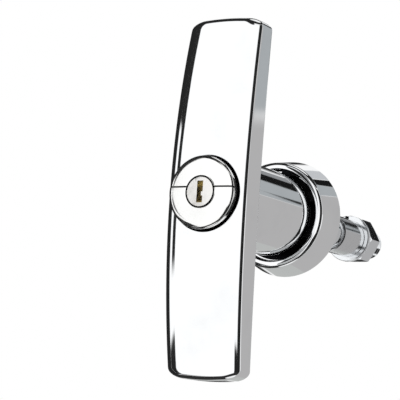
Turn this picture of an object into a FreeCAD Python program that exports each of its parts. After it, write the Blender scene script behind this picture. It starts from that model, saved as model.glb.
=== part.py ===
import FreeCAD, Part
import os
from collections import namedtuple

import Sketcher

# A twist handle lock for a panel door: a barrel-shaped grip on a round stem, a key cylinder in
# the grip, a rosette that the stem turns in, and a threaded spindle that goes through the door.
# Millimetres. X is to the right, +Y goes back through the door along the spindle, Z is up.
# The origin is the centre of the rosette's back face, where the lock meets the door.
# The handle stands upright, closed and unlocked, as with a key in the cylinder.

DOC = FreeCAD.newDocument("twist_handle_lock")

DRIVING_SIZES = [
    ("grip_length", "109.6", "grip, between the corners of its two ends"),
    ("grip_margin", "0.2", "how far the grip's sides stand out past the stem"),
    ("grip_side_bulge", "1", "how far each side of the grip bulges"),
    ("grip_end_rise", "1", "how far each end bulges"),
    ("grip_sweep", "5.5", "how far the ends lie behind the middle"),
    ("grip_thickness", "10.2", "grip, front to back"),
    ("grip_corner", "3", "radius of the grip's corners"),
    ("grip_front_round", "1.4", "rounded edge round the grip's front"),
    ("grip_back_round", "1.2", "rounded edge round the grip's back"),
    ("stem_foot_round", "3", "rounded edge at the stem's foot"),
    ("stem_toe_round", "2.7", "edge under the foot"),
    ("stem_taper", "0.3", "how much thinner the stem is at the grip"),
    ("foot_gap", "1.4", "stem's foot to the rosette's mouth, radially"),
    ("neck_step", "0.3", "neck past the bush's flange, radially"),
    ("neck_length", "3.15", "neck, foot to thrust face"),
    ("rosette_depth", "10.5", "rosette, front to back"),
    ("mouth_gap", "3", "rosette's mouth round the neck, radially"),
    ("lip_width", "2.1", "rosette's lip"),
    ("rosette_flare", "1.9", "how far the rosette widens towards the door"),
    ("rosette_lip_round", "0.9", "rounded outer edge of the rosette's lip"),
    ("mouth_round", "0.4", "rounded inner edge of the rosette's lip"),
    ("web_thickness", "4", "rosette's web that holds the bush"),
    ("rear_recess_depth", "3", "recess in the rosette's back"),
    ("recess_width", "3.1", "recess in the rosette's back, round the journal"),
    ("screw_wall", "0.75", "recess to each tapped fixing hole"),
    ("screw_tap_radius", "1.65", "tapping hole for a four millimetre screw"),
    ("screw_hole_depth", "6", "tapped fixing hole"),
    ("bush_bore_radius", "9.5", "bearing bush, bore"),
    ("bush_wall", "1", "bearing bush, wall"),
    ("flange_width", "1.2", "bearing bush, flange past its wall"),
    ("bush_flange_thick", "1", "bearing bush, flange"),
    ("running_gap", "0.03", "radial clearance of turning fits"),
    ("axial_gap", "0.05", "end clearance of turning fits"),
    ("disc_spring_gap", "0.4", "disc spring in the recess, radially"),
    ("disc_spring_thick", "0.5", "disc spring, sheet"),
    ("disc_spring_cone", "0.35", "disc spring, height of its cone"),
    ("circlip_thick", "1.1", "circlip on the journal"),
    ("circlip_width", "1.9", "circlip, width of its ring"),
    ("circlip_groove_depth", "0.67", "circlip groove in the journal"),
    ("circlip_mouth", "3.4", "circlip, between its ears"),
    ("circlip_ear_radius", "1.4", "circlip, each ear"),
    ("circlip_ear_sink", "0.35", "ear's centre inside the circlip's edge"),
    ("circlip_eye_radius", "0.56", "hole in each ear"),
    ("journal_recess", "0.4", "journal's end inside the door face"),
    ("spindle_floor", "0.65", "spindle's front end behind the thrust face"),
    ("spindle_shoulder", "30", "door face to the spindle's shoulder"),
    ("thread_radius", "5", "spindle's threaded stretch"),
    ("thread_mesh", "0.49", "crest of the thread to where it meets the nut's"),
    ("spindle_step", "0.5", "spindle's shoulder above the thread"),
    ("thread_tail", "9", "thread past the nut"),
    ("thread_tip", "1", "chamfer at the thread's end"),
    ("cross_pin_radius", "1.5", "pin through the journal and the spindle"),
    ("cross_pin_sink", "0.3", "pin's ends below the journal's surface"),
    ("sleeve_length", "15", "spacer sleeve"),
    ("sleeve_wall", "1.35", "spacer sleeve"),
    ("slip_gap", "0.15", "radial clearance of the sleeve and the washer"),
    ("washer_thick", "2", "split lock washer"),
    ("washer_width", "2.85", "split lock washer"),
    ("washer_split", "1.4", "split lock washer, its gap"),
    ("nut_height", "8", "nut, along the thread"),
    ("nut_relief", "0.5", "where the thread stands clear behind the nut"),
    ("nut_wall", "2", "nut, from the thread to a flat"),
    ("nut_bevel", "0.9", "nut, bevel of its corners"),
    ("head_stand_out", "2.5", "cylinder head, in front of the grip"),
    ("head_seat", "3.9", "cylinder head, sunk in the grip"),
    ("head_width", "3.2", "cylinder head, past the barrel"),
    ("head_dome", "1", "rise of the head's face"),
    ("head_crown", "0.25", "how far the head's face bulges"),
    ("head_round", "0.9", "rounded edge of the head"),
    ("barrel_length", "30.5", "cylinder barrel, behind its head"),
    ("barrel_wall", "3.7", "cylinder barrel, round the plug"),
    ("barrel_gap", "0.05", "radial clearance of the cylinder in the handle"),
    ("seal_section", "0.6", "sealing ring, radius of its section"),
    ("seal_place", "4", "sealing ring, behind the head"),
    ("seal_gap", "0.02", "sealing ring, clearance in its groove"),
    ("lock_pin_radius", "1.25", "pin that holds the cylinder in"),
    ("lock_pin_place", "20", "pin, behind the head"),
    ("lock_pin_bite", "1.3", "pin, into the barrel"),
    ("lock_pin_sink", "0.4", "pin's end below the stem's surface"),
    ("plug_radius", "4.3", "key plug"),
    ("plug_flange_thick", "1.5", "key plug, flange"),
    ("plug_flange_width", "0.5", "key plug, flange past the plug"),
    ("plug_skin", "1", "key plug, skin outside the springs"),
    ("plug_sink", "0.2", "key plug's face below the head's"),
    ("plug_overrun", "1.6", "key plug, past the barrel"),
    ("plug_clip_thick", "0.8", "clip on the key plug"),
    ("plug_clip_radius", "6.2", "clip on the key plug"),
    ("plug_clip_groove", "3.5", "clip groove, bottom"),
    ("plug_clip_grip", "2.8", "how far the clip's ends reach into the groove"),
    ("tail_radius", "2.6", "key plug's tail"),
    ("tail_length", "4.9", "key plug's tail"),
    ("cup_wall", "1.9", "cam's cup round the tail"),
    ("cup_floor", "2.6", "cam's cup behind the tail"),
    ("key_slot_width", "2", "keyway"),
    ("key_slot_height", "6.6", "keyway"),
    ("key_tip", "3.6", "keyway past the last tumbler"),
    ("ward_width", "0.5", "ward that narrows the keyway"),
    ("ward_height", "1.2", "ward that narrows the keyway"),
    ("tumbler_count", "5", "wafer tumblers in the plug"),
    ("tumbler_first", "6", "plug's face to the first tumbler"),
    ("tumbler_pitch", "2.6", "tumbler to tumbler"),
    ("tumbler_thick", "1", "wafer tumbler"),
    ("tumbler_travel", "0.7", "wafer tumbler, into the barrel's channel"),
    ("tumbler_gap", "0.05", "clearance of a tumbler in its slot"),
    ("tumbler_end_gap", "0.2", "wafer tumbler to its channel's end"),
    ("window_height", "4.6", "wafer tumbler, its window for the key"),
    ("window_gap", "0.25", "wafer tumbler, its window past the keyway's sides"),
    ("cut_step", "0.2", "key cut, one step"),
    ("lug_width", "1", "wafer tumbler, lug on its spring"),
    ("lug_height", "0.7", "wafer tumbler, lug on its spring"),
    ("lug_place", "0.2", "wafer tumbler, lug above its middle"),
    ("spring_height", "2.3", "tumbler spring, with the key in"),
    ("spring_radius", "0.36", "tumbler spring, middle of its wire"),
    ("spring_wire", "0.09", "tumbler spring, half of its square wire"),
    ("spring_turns", "4", "tumbler spring"),
    ("channel_gap", "0.4", "barrel's channel, past the tumblers"),
    ("cam_gap", "0.4", "cam in its bore"),
    ("cam_end_gap", "0.15", "cam, before the bolt's channel"),
    ("cam_pin_radius", "0.75", "pin through the cam and the tail"),
    ("crank", "2.2", "crank pin, from the plug's axis"),
    ("crank_pin_radius", "1", "crank pin"),
    ("crank_end_round", "0.8", "corners of the bolt's slot for the crank pin"),
    ("crank_gap", "0.15", "crank pin in the bolt's slot"),
    ("bolt_width", "6.8", "locking bolt"),
    ("bolt_thick", "1.8", "locking bolt"),
    ("bolt_floor", "0.75", "locking bolt, in front of the thrust face"),
    ("bolt_tail", "7", "locking bolt, behind the plug's axis"),
    ("bolt_tip_sink", "0.75", "locking bolt, drawn in below the neck's surface"),
    ("bolt_corner", "1", "locking bolt, corners of its tip"),
    ("slide_gap", "0.1", "locking bolt in its channel"),
    ("bolt_tail_gap", "0.4", "bolt's tail to its channel's end"),
    ("handle_turn", "90", "degrees that the handle turns"),
    ("lug_clearance", "0.4", "lugs to what turns past them"),
    ("keeper_gap", "0.3", "locking bolt between its two keepers"),
    ("block_angle", "14", "degrees that a keeper or stop block spans"),
    ("stop_half_angle", "6", "degrees, half of the handle's stop"),
    ("stop_gap_angle", "1.5", "degrees between the stop and a block"),
    ("fillet_hairline", "0.3", "small broken edges"),
]

DERIVED_PLACES = [
    ("bush_outer", "=Size.bush_bore_radius + Size.bush_wall"),
    ("bush_flange_radius", "=bush_outer + Size.flange_width"),
    ("neck_radius", "=bush_flange_radius + Size.neck_step"),
    ("mouth_radius", "=neck_radius + Size.mouth_gap"),
    ("foot_radius", "=mouth_radius - Size.foot_gap"),
    ("stem_radius", "=foot_radius - Size.stem_taper"),
    ("lip_radius", "=mouth_radius + Size.lip_width"),
    ("base_radius", "=lip_radius + Size.rosette_flare"),
    ("recess_radius", "=Size.bush_bore_radius + Size.recess_width"),
    ("screw_place", "=recess_radius + Size.screw_wall + Size.screw_tap_radius"),
    ("web_back", "=-Size.rear_recess_depth"),
    ("web_front", "=web_back - Size.web_thickness"),
    ("web_middle", "=(web_back + web_front) / 2"),
    ("rosette_face", "=-Size.rosette_depth"),
    ("thrust_face", "=web_front - Size.bush_flange_thick - Size.axial_gap"),
    ("foot", "=thrust_face - Size.neck_length"),
    ("journal_radius", "=Size.bush_bore_radius - Size.running_gap"),
    ("journal_end", "=-Size.journal_recess"),
    ("disc_spring_radius", "=recess_radius - Size.disc_spring_gap"),
    ("circlip_front", "=web_back + Size.disc_spring_thick + Size.disc_spring_cone + Size.axial_gap"),
    ("circlip_back", "=circlip_front + Size.circlip_thick"),
    ("circlip_floor", "=journal_radius - Size.circlip_groove_depth"),
    ("circlip_radius", "=circlip_floor + Size.circlip_width"),
    ("ear_radius", "=circlip_radius - Size.circlip_ear_sink"),
    ("bolt_back", "=thrust_face - Size.bolt_floor"),
    ("bolt_front", "=bolt_back - Size.bolt_thick"),
    ("channel_back", "=bolt_back + Size.slide_gap"),
    ("channel_front", "=bolt_front - Size.slide_gap"),
    ("cam_back", "=channel_front - Size.cam_end_gap"),
    ("cup_bottom", "=cam_back - Size.cup_floor"),
    ("tail_end", "=cup_bottom - Size.axial_gap"),
    ("plug_end", "=tail_end - Size.tail_length"),
    ("barrel_end", "=plug_end - Size.plug_overrun"),
    ("head_seat_face", "=barrel_end - Size.barrel_length"),
    ("grip_face", "=head_seat_face - Size.head_seat"),
    ("grip_back", "=grip_face + Size.grip_thickness"),
    ("grip_half", "=Size.grip_length / 2 + Size.grip_end_rise"),
    ("grip_half_width", "=stem_radius + Size.grip_margin"),
    ("bow_radius", "=(grip_half^2 + Size.grip_sweep^2) / (2 * Size.grip_sweep)"),
    ("blank_half", "=grip_half + Size.grip_end_rise"),
    ("blank_sweep", "=bow_radius - sqrt(bow_radius^2 - blank_half^2)"),
    ("back_radius", "=bow_radius - Size.grip_thickness"),
    ("back_sweep", "=back_radius - sqrt(back_radius^2 - blank_half^2)"),
    ("head_rim", "=grip_face - Size.head_stand_out"),
    ("head_face", "=head_rim - Size.head_dome"),
    ("barrel_radius", "=Size.plug_radius + Size.barrel_wall"),
    ("barrel_bore", "=barrel_radius + Size.barrel_gap"),
    ("head_radius", "=barrel_radius + Size.head_width"),
    ("seal_middle", "=head_seat_face + Size.seal_place"),
    ("seal_radius", "=barrel_radius - Size.seal_section + Size.barrel_gap / 2"),
    ("seal_floor", "=seal_radius - Size.seal_section - Size.seal_gap"),
    ("lock_pin_middle", "=head_seat_face + Size.lock_pin_place"),
    ("lock_pin_inner", "=barrel_radius - Size.lock_pin_bite"),
    ("lock_pin_outer", "=stem_radius - Size.lock_pin_sink"),
    ("plug_face", "=head_face + Size.plug_sink"),
    ("plug_flange_radius", "=Size.plug_radius + Size.plug_flange_width"),
    ("plug_flange_back", "=plug_face + Size.plug_flange_thick"),
    ("plug_bore", "=Size.plug_radius + Size.running_gap"),
    ("clip_front", "=barrel_end + Size.axial_gap"),
    ("clip_back", "=clip_front + Size.plug_clip_thick"),
    ("cam_front", "=plug_end + Size.axial_gap"),
    ("cam_radius", "=Size.tail_radius + Size.cup_wall"),
    ("cam_pin_middle", "=(cam_front + tail_end) / 2"),
    ("crank_side", "=Size.crank * sin(Size.handle_turn / 2)"),
    ("crank_up", "=Size.crank * cos(Size.handle_turn / 2)"),
    ("first_tumbler", "=plug_face + Size.tumbler_first"),
    ("last_tumbler", "=first_tumbler + Size.tumbler_pitch * (Size.tumbler_count - 1)"),
    ("keyway_end", "=last_tumbler + Size.key_tip"),
    ("tumbler_radius", "=Size.plug_radius - Size.tumbler_gap"),
    ("tumbler_half", "=Size.plug_radius - Size.plug_skin - Size.lug_width"),
    ("tumbler_slot", "=Size.tumbler_thick + 2 * Size.tumbler_gap"),
    ("window_half", "=Size.key_slot_width / 2 + Size.window_gap"),
    ("channel_side", "=tumbler_half + Size.tumbler_end_gap"),
    ("channel_top", "=tumbler_radius + Size.tumbler_travel + Size.channel_gap"),
    ("spring_floor", "=Size.lug_place - Size.spring_height"),
    ("spring_middle", "=tumbler_half + Size.lug_width / 2"),
    ("lug_side", "=tumbler_half + Size.lug_width"),
    ("lug_top", "=Size.lug_place + Size.lug_height"),
    ("spindle_front", "=thrust_face + Size.spindle_floor"),
    ("spindle_radius", "=Size.thread_radius + Size.spindle_step"),
    ("mesh_radius", "=Size.thread_radius - Size.thread_mesh"),
    ("slip_bore", "=Size.thread_radius + Size.slip_gap"),
    ("sleeve_radius", "=slip_bore + Size.sleeve_wall"),
    ("washer_radius", "=slip_bore + Size.washer_width"),
    ("nut_half", "=Size.thread_radius + Size.nut_wall"),
    ("sleeve_back", "=Size.spindle_shoulder + Size.sleeve_length"),
    ("washer_back", "=sleeve_back + Size.washer_thick"),
    ("nut_back", "=washer_back + Size.nut_height"),
    ("tail_start", "=nut_back + Size.nut_relief"),
    ("spindle_end", "=nut_back + Size.thread_tail"),
    ("block_inner", "=neck_radius + Size.lug_clearance"),
    ("block_outer", "=mouth_radius + Size.mouth_round"),
    ("stop_outer", "=mouth_radius - Size.lug_clearance"),
    ("block_face", "=rosette_face + Size.mouth_round + Size.slide_gap"),
    ("keeper_angle", "=asin((Size.bolt_width / 2 + Size.keeper_gap) / block_inner) / 1deg"),
    ("stop_angle", "=Size.stop_half_angle + Size.stop_gap_angle"),
]

KEY_CUTS = [1, -1, 0, 2, -2]

# One corner of an outline: its two coordinates, how far the edge that leaves it bulges to the
# right of its run, and the radius that rounds it. Each is an expression of the named sizes.
Corner = namedtuple("Corner", "across along rise round", defaults=(None, None))


def fill_sheet(name, rows):
    """Add a spreadsheet whose rows hold an alias, a value and a note."""
    sheet = DOC.addObject("Spreadsheet::Sheet", name)
    for number, row in enumerate(rows, 1):
        sheet.set(f"A{number}", row[0])
        sheet.set(f"B{number}", row[1])
        sheet.setAlias(f"B{number}", row[0])
        sheet.set(f"C{number}", row[2] if len(row) > 2 else "")
    DOC.recompute()
    return sheet


SIZE = fill_sheet("Size", DRIVING_SIZES)
PLACE = fill_sheet("Place", DERIVED_PLACES)


def value(expression):
    """The number that an expression of the named sizes gives now."""
    return float(SIZE.evalExpression(expression))


def new_body(label):
    body = DOC.addObject("PartDesign::Body", label)
    body.Label = label
    return body


def new_sketch(body, name, role, station=None):
    """A sketch on one of the body's own origin planes, moved along its normal by an expression."""
    sketch = body.newObject("Sketcher::SketchObject", name)
    plane = [item for item in body.Origin.OriginFeatures if item.Role == role][0]
    sketch.AttachmentSupport = [(plane, "")]
    sketch.MapMode = "FlatFace"
    if station:
        sketch.setExpression("AttachmentOffset.Base.z", station)
        DOC.recompute()
    return sketch


def pin_point(sketch, geometry, end, across, along):
    """Hold one end of a piece of geometry at two expressions."""
    for kind, expression in (("DistanceX", across), ("DistanceY", along)):
        number = sketch.addConstraint(Sketcher.Constraint(kind, geometry, end, value(expression)))
        sketch.setExpression(f"Constraints[{number}]", expression)


def hold_radius(sketch, geometry, expression):
    number = sketch.addConstraint(Sketcher.Constraint("Radius", geometry, value(expression)))
    sketch.setExpression(f"Constraints[{number}]", expression)


def draw_edge(sketch, corner, following):
    """A straight edge or an arc from a corner to the next one; gives its number and its ends."""
    begin = FreeCAD.Vector(value(corner.across), value(corner.along), 0)
    end = FreeCAD.Vector(value(following.across), value(following.along), 0)
    if corner.rise is None:
        return sketch.addGeometry(Part.LineSegment(begin, end), False), 1, 2
    run = end - begin
    outwards = FreeCAD.Vector(run.y, -run.x, 0).normalize()
    middle = (begin + end) / 2 + outwards * value(corner.rise)
    number = sketch.addGeometry(Part.Arc(begin, middle, end), False)
    swapped = sketch.getPoint(number, 1).distanceToPoint(begin) > run.Length / 2
    return (number, 2, 1) if swapped else (number, 1, 2)


def draw(sketch, corners):
    """A closed outline whose corners, arcs and rounds are all held by expressions."""
    pairs = list(zip(corners, corners[1:] + corners[:1]))
    edges = [draw_edge(sketch, corner, following) for corner, following in pairs]
    for (number, begin, end), (next_number, next_begin, _) in zip(edges, edges[1:] + edges[:1]):
        sketch.addConstraint(Sketcher.Constraint("Coincident", number, end, next_number, next_begin))
    for (corner, following), (number, begin, _) in zip(pairs, edges):
        pin_point(sketch, number, begin, corner.across, corner.along)
        if corner.rise is not None:
            run = (f"(({following.across} - ({corner.across}))^2"
                   f" + ({following.along} - ({corner.along}))^2)")
            rise = f"abs({corner.rise})"
            hold_radius(sketch, number, f"{run} / (8 * {rise}) + {rise} / 2")
    for corner, (number, begin, _) in zip(corners, edges):
        if corner.round is not None:
            arc = sketch.GeometryCount
            sketch.fillet(number, begin, value(corner.round), True, True)
            hold_radius(sketch, arc, corner.round)


def draw_circle(sketch, across, along, radius):
    centre = FreeCAD.Vector(value(across), value(along), 0)
    circle = Part.Circle(centre, FreeCAD.Vector(0, 0, 1), value(radius))
    number = sketch.addGeometry(circle, False)
    pin_point(sketch, number, 3, across, along)
    hold_radius(sketch, number, radius)


def box_corners(low_across, low_along, high_across, high_along, round_by=None):
    return [Corner(low_across, low_along, None, round_by),
            Corner(high_across, low_along, None, round_by),
            Corner(high_across, high_along, None, round_by),
            Corner(low_across, high_along, None, round_by)]


def sector_corners(inner, outer, start, end):
    """Corners of a ring sector about the sketch's origin, between two angles in degrees."""
    half = f"(({end} - ({start})) / 2)"
    return [Corner(f"{inner} * cos({start})", f"{inner} * sin({start})"),
            Corner(f"{outer} * cos({start})", f"{outer} * sin({start})",
                   f"{outer} * (1 - cos({half}))"),
            Corner(f"{outer} * cos({end})", f"{outer} * sin({end})"),
            Corner(f"{inner} * cos({end})", f"{inner} * sin({end})",
                   f"-{inner} * (1 - cos({half}))")]


def turned(body, name, corners, kind="PartDesign::Revolution"):
    """Turn an outline of radii and Y places about the Y axis."""
    profile = new_sketch(body, name + "_profile", "XY_Plane")
    draw(profile, corners)
    return turn_sketch(body, name, profile, kind)


def turn_sketch(body, name, profile, kind):
    feature = body.newObject(kind, name)
    feature.Profile = profile
    feature.ReferenceAxis = (profile, ["V_Axis"])
    feature.Angle = 360
    return feature


def tube_corners(inner, outer, front, back):
    return [Corner(inner, front), Corner(outer, front), Corner(outer, back), Corner(inner, back)]


def pad_forward(body, name, profile, depth):
    """Pad a sketch from its station towards the front by an expression."""
    feature = body.newObject("PartDesign::Pad", name)
    feature.Profile = profile
    feature.setExpression("Length", depth)
    return feature


def cut_back(body, name, profile, depth):
    """Cut a sketch from its station towards the back by an expression."""
    feature = body.newObject("PartDesign::Pocket", name)
    feature.Profile = profile
    feature.setExpression("Length", depth)
    return feature


def cut_through(body, name, profile, side="Symmetric"):
    feature = body.newObject("PartDesign::Pocket", name)
    feature.Profile = profile
    feature.Type = "ThroughAll"
    feature.SideType = side
    return feature


def facing(place):
    """The offset that puts a sketch of the upright XZ plane at a Y place."""
    return f"-({place})"


def edge_points(edge):
    first, last = edge.ParameterRange
    return [edge.valueAt(first + (last - first) * share) for share in (0.0, 0.5, 1.0)]


def edge_names(feature, test):
    """The names of the edges all of whose points pass a test."""
    DOC.recompute()
    edges = enumerate(feature.Shape.Edges, 1)
    return [f"Edge{number}" for number, edge in edges if all(map(test, edge_points(edge)))]


def round_edges(body, name, feature, test, radius):
    names = edge_names(feature, test)
    fillet = body.newObject("PartDesign::Fillet", name)
    fillet.Base = (feature, names)
    fillet.setExpression("Radius", radius)
    return fillet


def bevel_edges(body, name, feature, test, width):
    names = edge_names(feature, test)
    bevel = body.newObject("PartDesign::Chamfer", name)
    bevel.Base = (feature, names)
    bevel.setExpression("Size", width)
    return bevel


def at_ring(radius, place):
    """A test for points of a circle about the Y axis."""
    wanted, station = value(radius), value(place)
    return lambda point: (abs(point.y - station) < 0.001
                          and abs((point.x ** 2 + point.z ** 2) ** 0.5 - wanted) < 0.001)


def on_bow(radius):
    """A test for points of a cylinder about the axis that the grip is bowed round."""
    centre = value("Place.grip_face + Place.bow_radius")
    wanted = value(radius)
    return lambda point: abs(((point.y - centre) ** 2 + point.z ** 2) ** 0.5 - wanted) < 0.001


def grip_blank(body):
    """The bowed bar of the grip, before its outline is cut."""
    section = new_sketch(body, "grip_section", "YZ_Plane")
    front_end = "Place.grip_face + Place.blank_sweep"
    back_end = "Place.grip_back + Place.back_sweep"
    draw(section, [
        Corner(front_end, "Place.blank_half", "Place.blank_sweep"),
        Corner(front_end, "-Place.blank_half"),
        Corner(back_end, "-Place.blank_half", "-Place.back_sweep"),
        Corner(back_end, "Place.blank_half"),
    ])
    blank = body.newObject("PartDesign::Pad", "grip_bar")
    blank.Profile = section
    blank.SideType = "Symmetric"
    blank.setExpression("Length", "2 * (Place.grip_half_width + Size.grip_front_round)")
    return blank


def grip_outline(body):
    """Cut the bar to a barrel shape: widest in the middle, with gently bulging ends."""
    outline = new_sketch(body, "grip_outline", "XZ_Plane")
    half_width = "(Place.grip_half_width - Size.grip_side_bulge)"
    half_length = "Size.grip_length / 2"
    bulge = "Size.grip_side_bulge"
    draw(outline, [
        Corner(half_width, "-" + half_length, bulge),
        Corner(half_width, half_length, "Size.grip_end_rise"),
        Corner("-" + half_width, half_length, bulge),
        Corner("-" + half_width, "-" + half_length, "Size.grip_end_rise"),
    ])
    far_side = "2 * Place.grip_half_width"
    far_end = "Place.blank_half + Size.grip_end_rise"
    draw(outline, box_corners("-" + far_side, f"-({far_end})", far_side, far_end))
    return cut_through(body, "grip_sides", outline)


def rounded_grip(body):
    """The grip with its corners and both of its faces' edges rounded."""
    grip_blank(body)
    sides = grip_outline(body)
    half_length = value("Size.grip_length / 2")
    half_width = value("Place.grip_half_width - Size.grip_side_bulge")
    corners = round_edges(
        body, "grip_corners", sides,
        lambda point: (abs(abs(point.z) - half_length) < 0.001
                       and abs(abs(point.x) - half_width) < 0.001),
        "Size.grip_corner")
    front = round_edges(body, "grip_front_edge", corners, on_bow("Place.bow_radius"),
                        "Size.grip_front_round")
    return round_edges(body, "grip_back_edge", front, on_bow("Place.back_radius"),
                       "Size.grip_back_round")


def add_stem(body):
    """The stem behind the grip, its rounded foot, the neck and the journal."""
    start = "Place.grip_back - Size.grip_thickness / 2"
    stem = turned(body, "stem", [
        Corner("0", start),
        Corner("Place.stem_radius", start),
        Corner("Place.stem_radius", "Place.grip_back"),
        Corner("Place.foot_radius", "Place.foot", None, "Size.stem_toe_round"),
        Corner("Place.neck_radius", "Place.foot"),
        Corner("Place.neck_radius", "Place.thrust_face"),
        Corner("Place.journal_radius", "Place.thrust_face"),
        Corner("Place.journal_radius", "Place.journal_end"),
        Corner("0", "Place.journal_end"),
    ])
    return stem


def bore_casting(body):
    """The stepped bore for the cylinder and its cam, the spindle's bore and the circlip's groove."""
    head_hole = "Place.head_radius + Size.barrel_gap"
    cam_bore = "Place.cam_radius + Size.cam_gap"
    front = "Place.grip_face - Size.grip_sweep"
    turned(body, "cylinder_bore", [
        Corner("0", front),
        Corner(head_hole, front),
        Corner(head_hole, "Place.head_seat_face"),
        Corner("Place.barrel_bore", "Place.head_seat_face"),
        Corner("Place.barrel_bore", "Place.plug_end"),
        Corner(cam_bore, "Place.plug_end"),
        Corner(cam_bore, "Place.channel_front"),
        Corner("0", "Place.channel_front"),
    ], "PartDesign::Groove")
    turned(body, "spindle_bore", [
        Corner("0", "Place.spindle_front"),
        Corner("Place.spindle_radius", "Place.spindle_front"),
        Corner("Place.spindle_radius", "Place.journal_end + Size.axial_gap"),
        Corner("0", "Place.journal_end + Size.axial_gap"),
    ], "PartDesign::Groove")
    turned(body, "circlip_groove", tube_corners(
        "Place.circlip_floor", "Size.bush_bore_radius",
        "Place.circlip_front", "Place.circlip_back"), "PartDesign::Groove")


def bolt_channel(body):
    """The cross channel that the bolt slides in, open on the bolt's side."""
    half = "(Size.bolt_width / 2 + Size.slide_gap)"
    channel = new_sketch(body, "bolt_channel_outline", "XZ_Plane", facing("Place.channel_front"))
    draw(channel, box_corners("-Size.bolt_tail - Size.bolt_tail_gap", "-" + half,
                              "Place.foot_radius", half))
    cut_back(body, "bolt_channel", channel, "Place.channel_back - Place.channel_front")


def handle_stop(body):
    """The stop that stands out of the neck and runs between the rosette's two blocks."""
    outline = new_sketch(body, "stop_outline", "XZ_Plane", facing("Place.thrust_face"))
    draw(outline, sector_corners("(Place.neck_radius - Size.stem_foot_round / 2)", "Place.stop_outer",
                                 "(180 - Size.stop_half_angle)", "(180 + Size.stop_half_angle)"))
    pad_forward(body, "handle_stop", outline, "Size.neck_length - Size.fillet_hairline")


def pin_holes(body):
    """The holes for the spindle's cross pin and for the pin that keeps the cylinder in."""
    cross = new_sketch(body, "cross_pin_outline", "XY_Plane")
    draw_circle(cross, "0", "Place.web_middle", "Size.cross_pin_radius")
    cut_through(body, "cross_pin_hole", cross)
    keeper = new_sketch(body, "lock_pin_outline", "YZ_Plane")
    draw_circle(keeper, "Place.lock_pin_middle", "0", "Size.lock_pin_radius")
    cut_through(body, "lock_pin_hole", keeper, "One side")


def handle_casting():
    """The grip and its stem, one casting, bored for the cylinder, the bolt and the spindle."""
    body = new_body("handle_casting")
    rounded_grip(body)
    add_stem(body)
    bore_casting(body)
    bolt_channel(body)
    handle_stop(body)
    pin_holes(body)


def lug_outline(body, name, start, end):
    """A lug of the rosette, from its web to its lip, between two angles."""
    outline = new_sketch(body, name + "_outline", "XZ_Plane", facing("Place.web_front"))
    draw(outline, sector_corners("Place.block_inner", "Place.block_outer", start, end))
    pad_forward(body, name, outline, "Place.web_front - Place.block_face")


def rosette():
    """The tapered rosette, with its mouth, its web, the bolt's keepers and the stop blocks."""
    body = new_body("rosette")
    turned(body, "rosette_wall", [
        Corner("Place.bush_outer", "Place.web_front"),
        Corner("Place.mouth_radius", "Place.web_front"),
        Corner("Place.mouth_radius", "Place.rosette_face", None, "Size.mouth_round"),
        Corner("Place.lip_radius", "Place.rosette_face", None, "Size.rosette_lip_round"),
        Corner("Place.base_radius", "0"),
        Corner("Place.recess_radius", "0"),
        Corner("Place.recess_radius", "Place.web_back"),
        Corner("Place.bush_outer", "Place.web_back"),
    ])
    rest_block = "(180 + Place.stop_angle)"
    open_block = "(180 - Size.handle_turn - Place.stop_angle)"
    blocks = {
        "upper_keeper": ("Place.keeper_angle", "(Place.keeper_angle + Size.block_angle)"),
        "lower_keeper": ("(-Place.keeper_angle - Size.block_angle)", "(-Place.keeper_angle)"),
        "rest_block": (rest_block, f"({rest_block} + Size.block_angle)"),
        "open_block": (f"({open_block} - Size.block_angle)", open_block),
    }
    for name, (start, end) in blocks.items():
        lug_outline(body, name, start, end)
    holes = new_sketch(body, "fixing_hole_outline", "XZ_Plane", facing("-Size.screw_hole_depth"))
    for side in ("", "-"):
        draw_circle(holes, "0", side + "Place.screw_place", "Size.screw_tap_radius")
    cut_back(body, "fixing_holes", holes, "Size.screw_hole_depth")


def bearing_bush():
    """The flanged bush that is pressed into the rosette's web."""
    body = new_body("bearing_bush")
    outside = "Place.bush_outer"
    flange_front = "Place.web_front - Size.bush_flange_thick"
    turned(body, "bush", [
        Corner("Size.bush_bore_radius", flange_front),
        Corner("Place.bush_flange_radius", flange_front),
        Corner("Place.bush_flange_radius", "Place.web_front"),
        Corner(outside, "Place.web_front"),
        Corner(outside, "Place.web_back"),
        Corner("Size.bush_bore_radius", "Place.web_back"),
    ])


def disc_spring():
    """The coned washer that takes up the handle's end play behind the web."""
    body = new_body("disc_spring")
    inside = "Size.bush_bore_radius"
    back = "Place.web_back + Size.disc_spring_cone"
    turned(body, "cone", [
        Corner(inside, back),
        Corner("Place.disc_spring_radius", "Place.web_back"),
        Corner("Place.disc_spring_radius", "Place.web_back + Size.disc_spring_thick"),
        Corner(inside, back + " + Size.disc_spring_thick"),
    ])


def stem_circlip():
    """The external circlip in the journal's groove, with two eyed ears."""
    body = new_body("stem_circlip")
    turned(body, "ring", tube_corners("Place.circlip_floor", "Place.circlip_radius",
                                      "Place.circlip_front", "Place.circlip_back"))
    mouth = new_sketch(body, "mouth_outline", "XZ_Plane", facing("Place.circlip_front"))
    half = "Size.circlip_mouth / 2"
    draw(mouth, box_corners("-" + half, "0", half, "Place.recess_radius"))
    cut_back(body, "mouth", mouth, "Size.circlip_thick")
    ears = new_sketch(body, "ear_outline", "XZ_Plane", facing("Place.circlip_back"))
    eyes = new_sketch(body, "eye_outline", "XZ_Plane", facing("Place.circlip_front"))
    for side in ("", "-"):
        across = side + "(Size.circlip_mouth / 2 + Size.circlip_ear_radius)"
        draw_circle(ears, across, "Place.ear_radius", "Size.circlip_ear_radius")
        draw_circle(eyes, across, "Place.ear_radius", "Size.circlip_eye_radius")
    pad_forward(body, "ears", ears, "Size.circlip_thick")
    cut_back(body, "eyes", eyes, "Size.circlip_thick")


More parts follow.
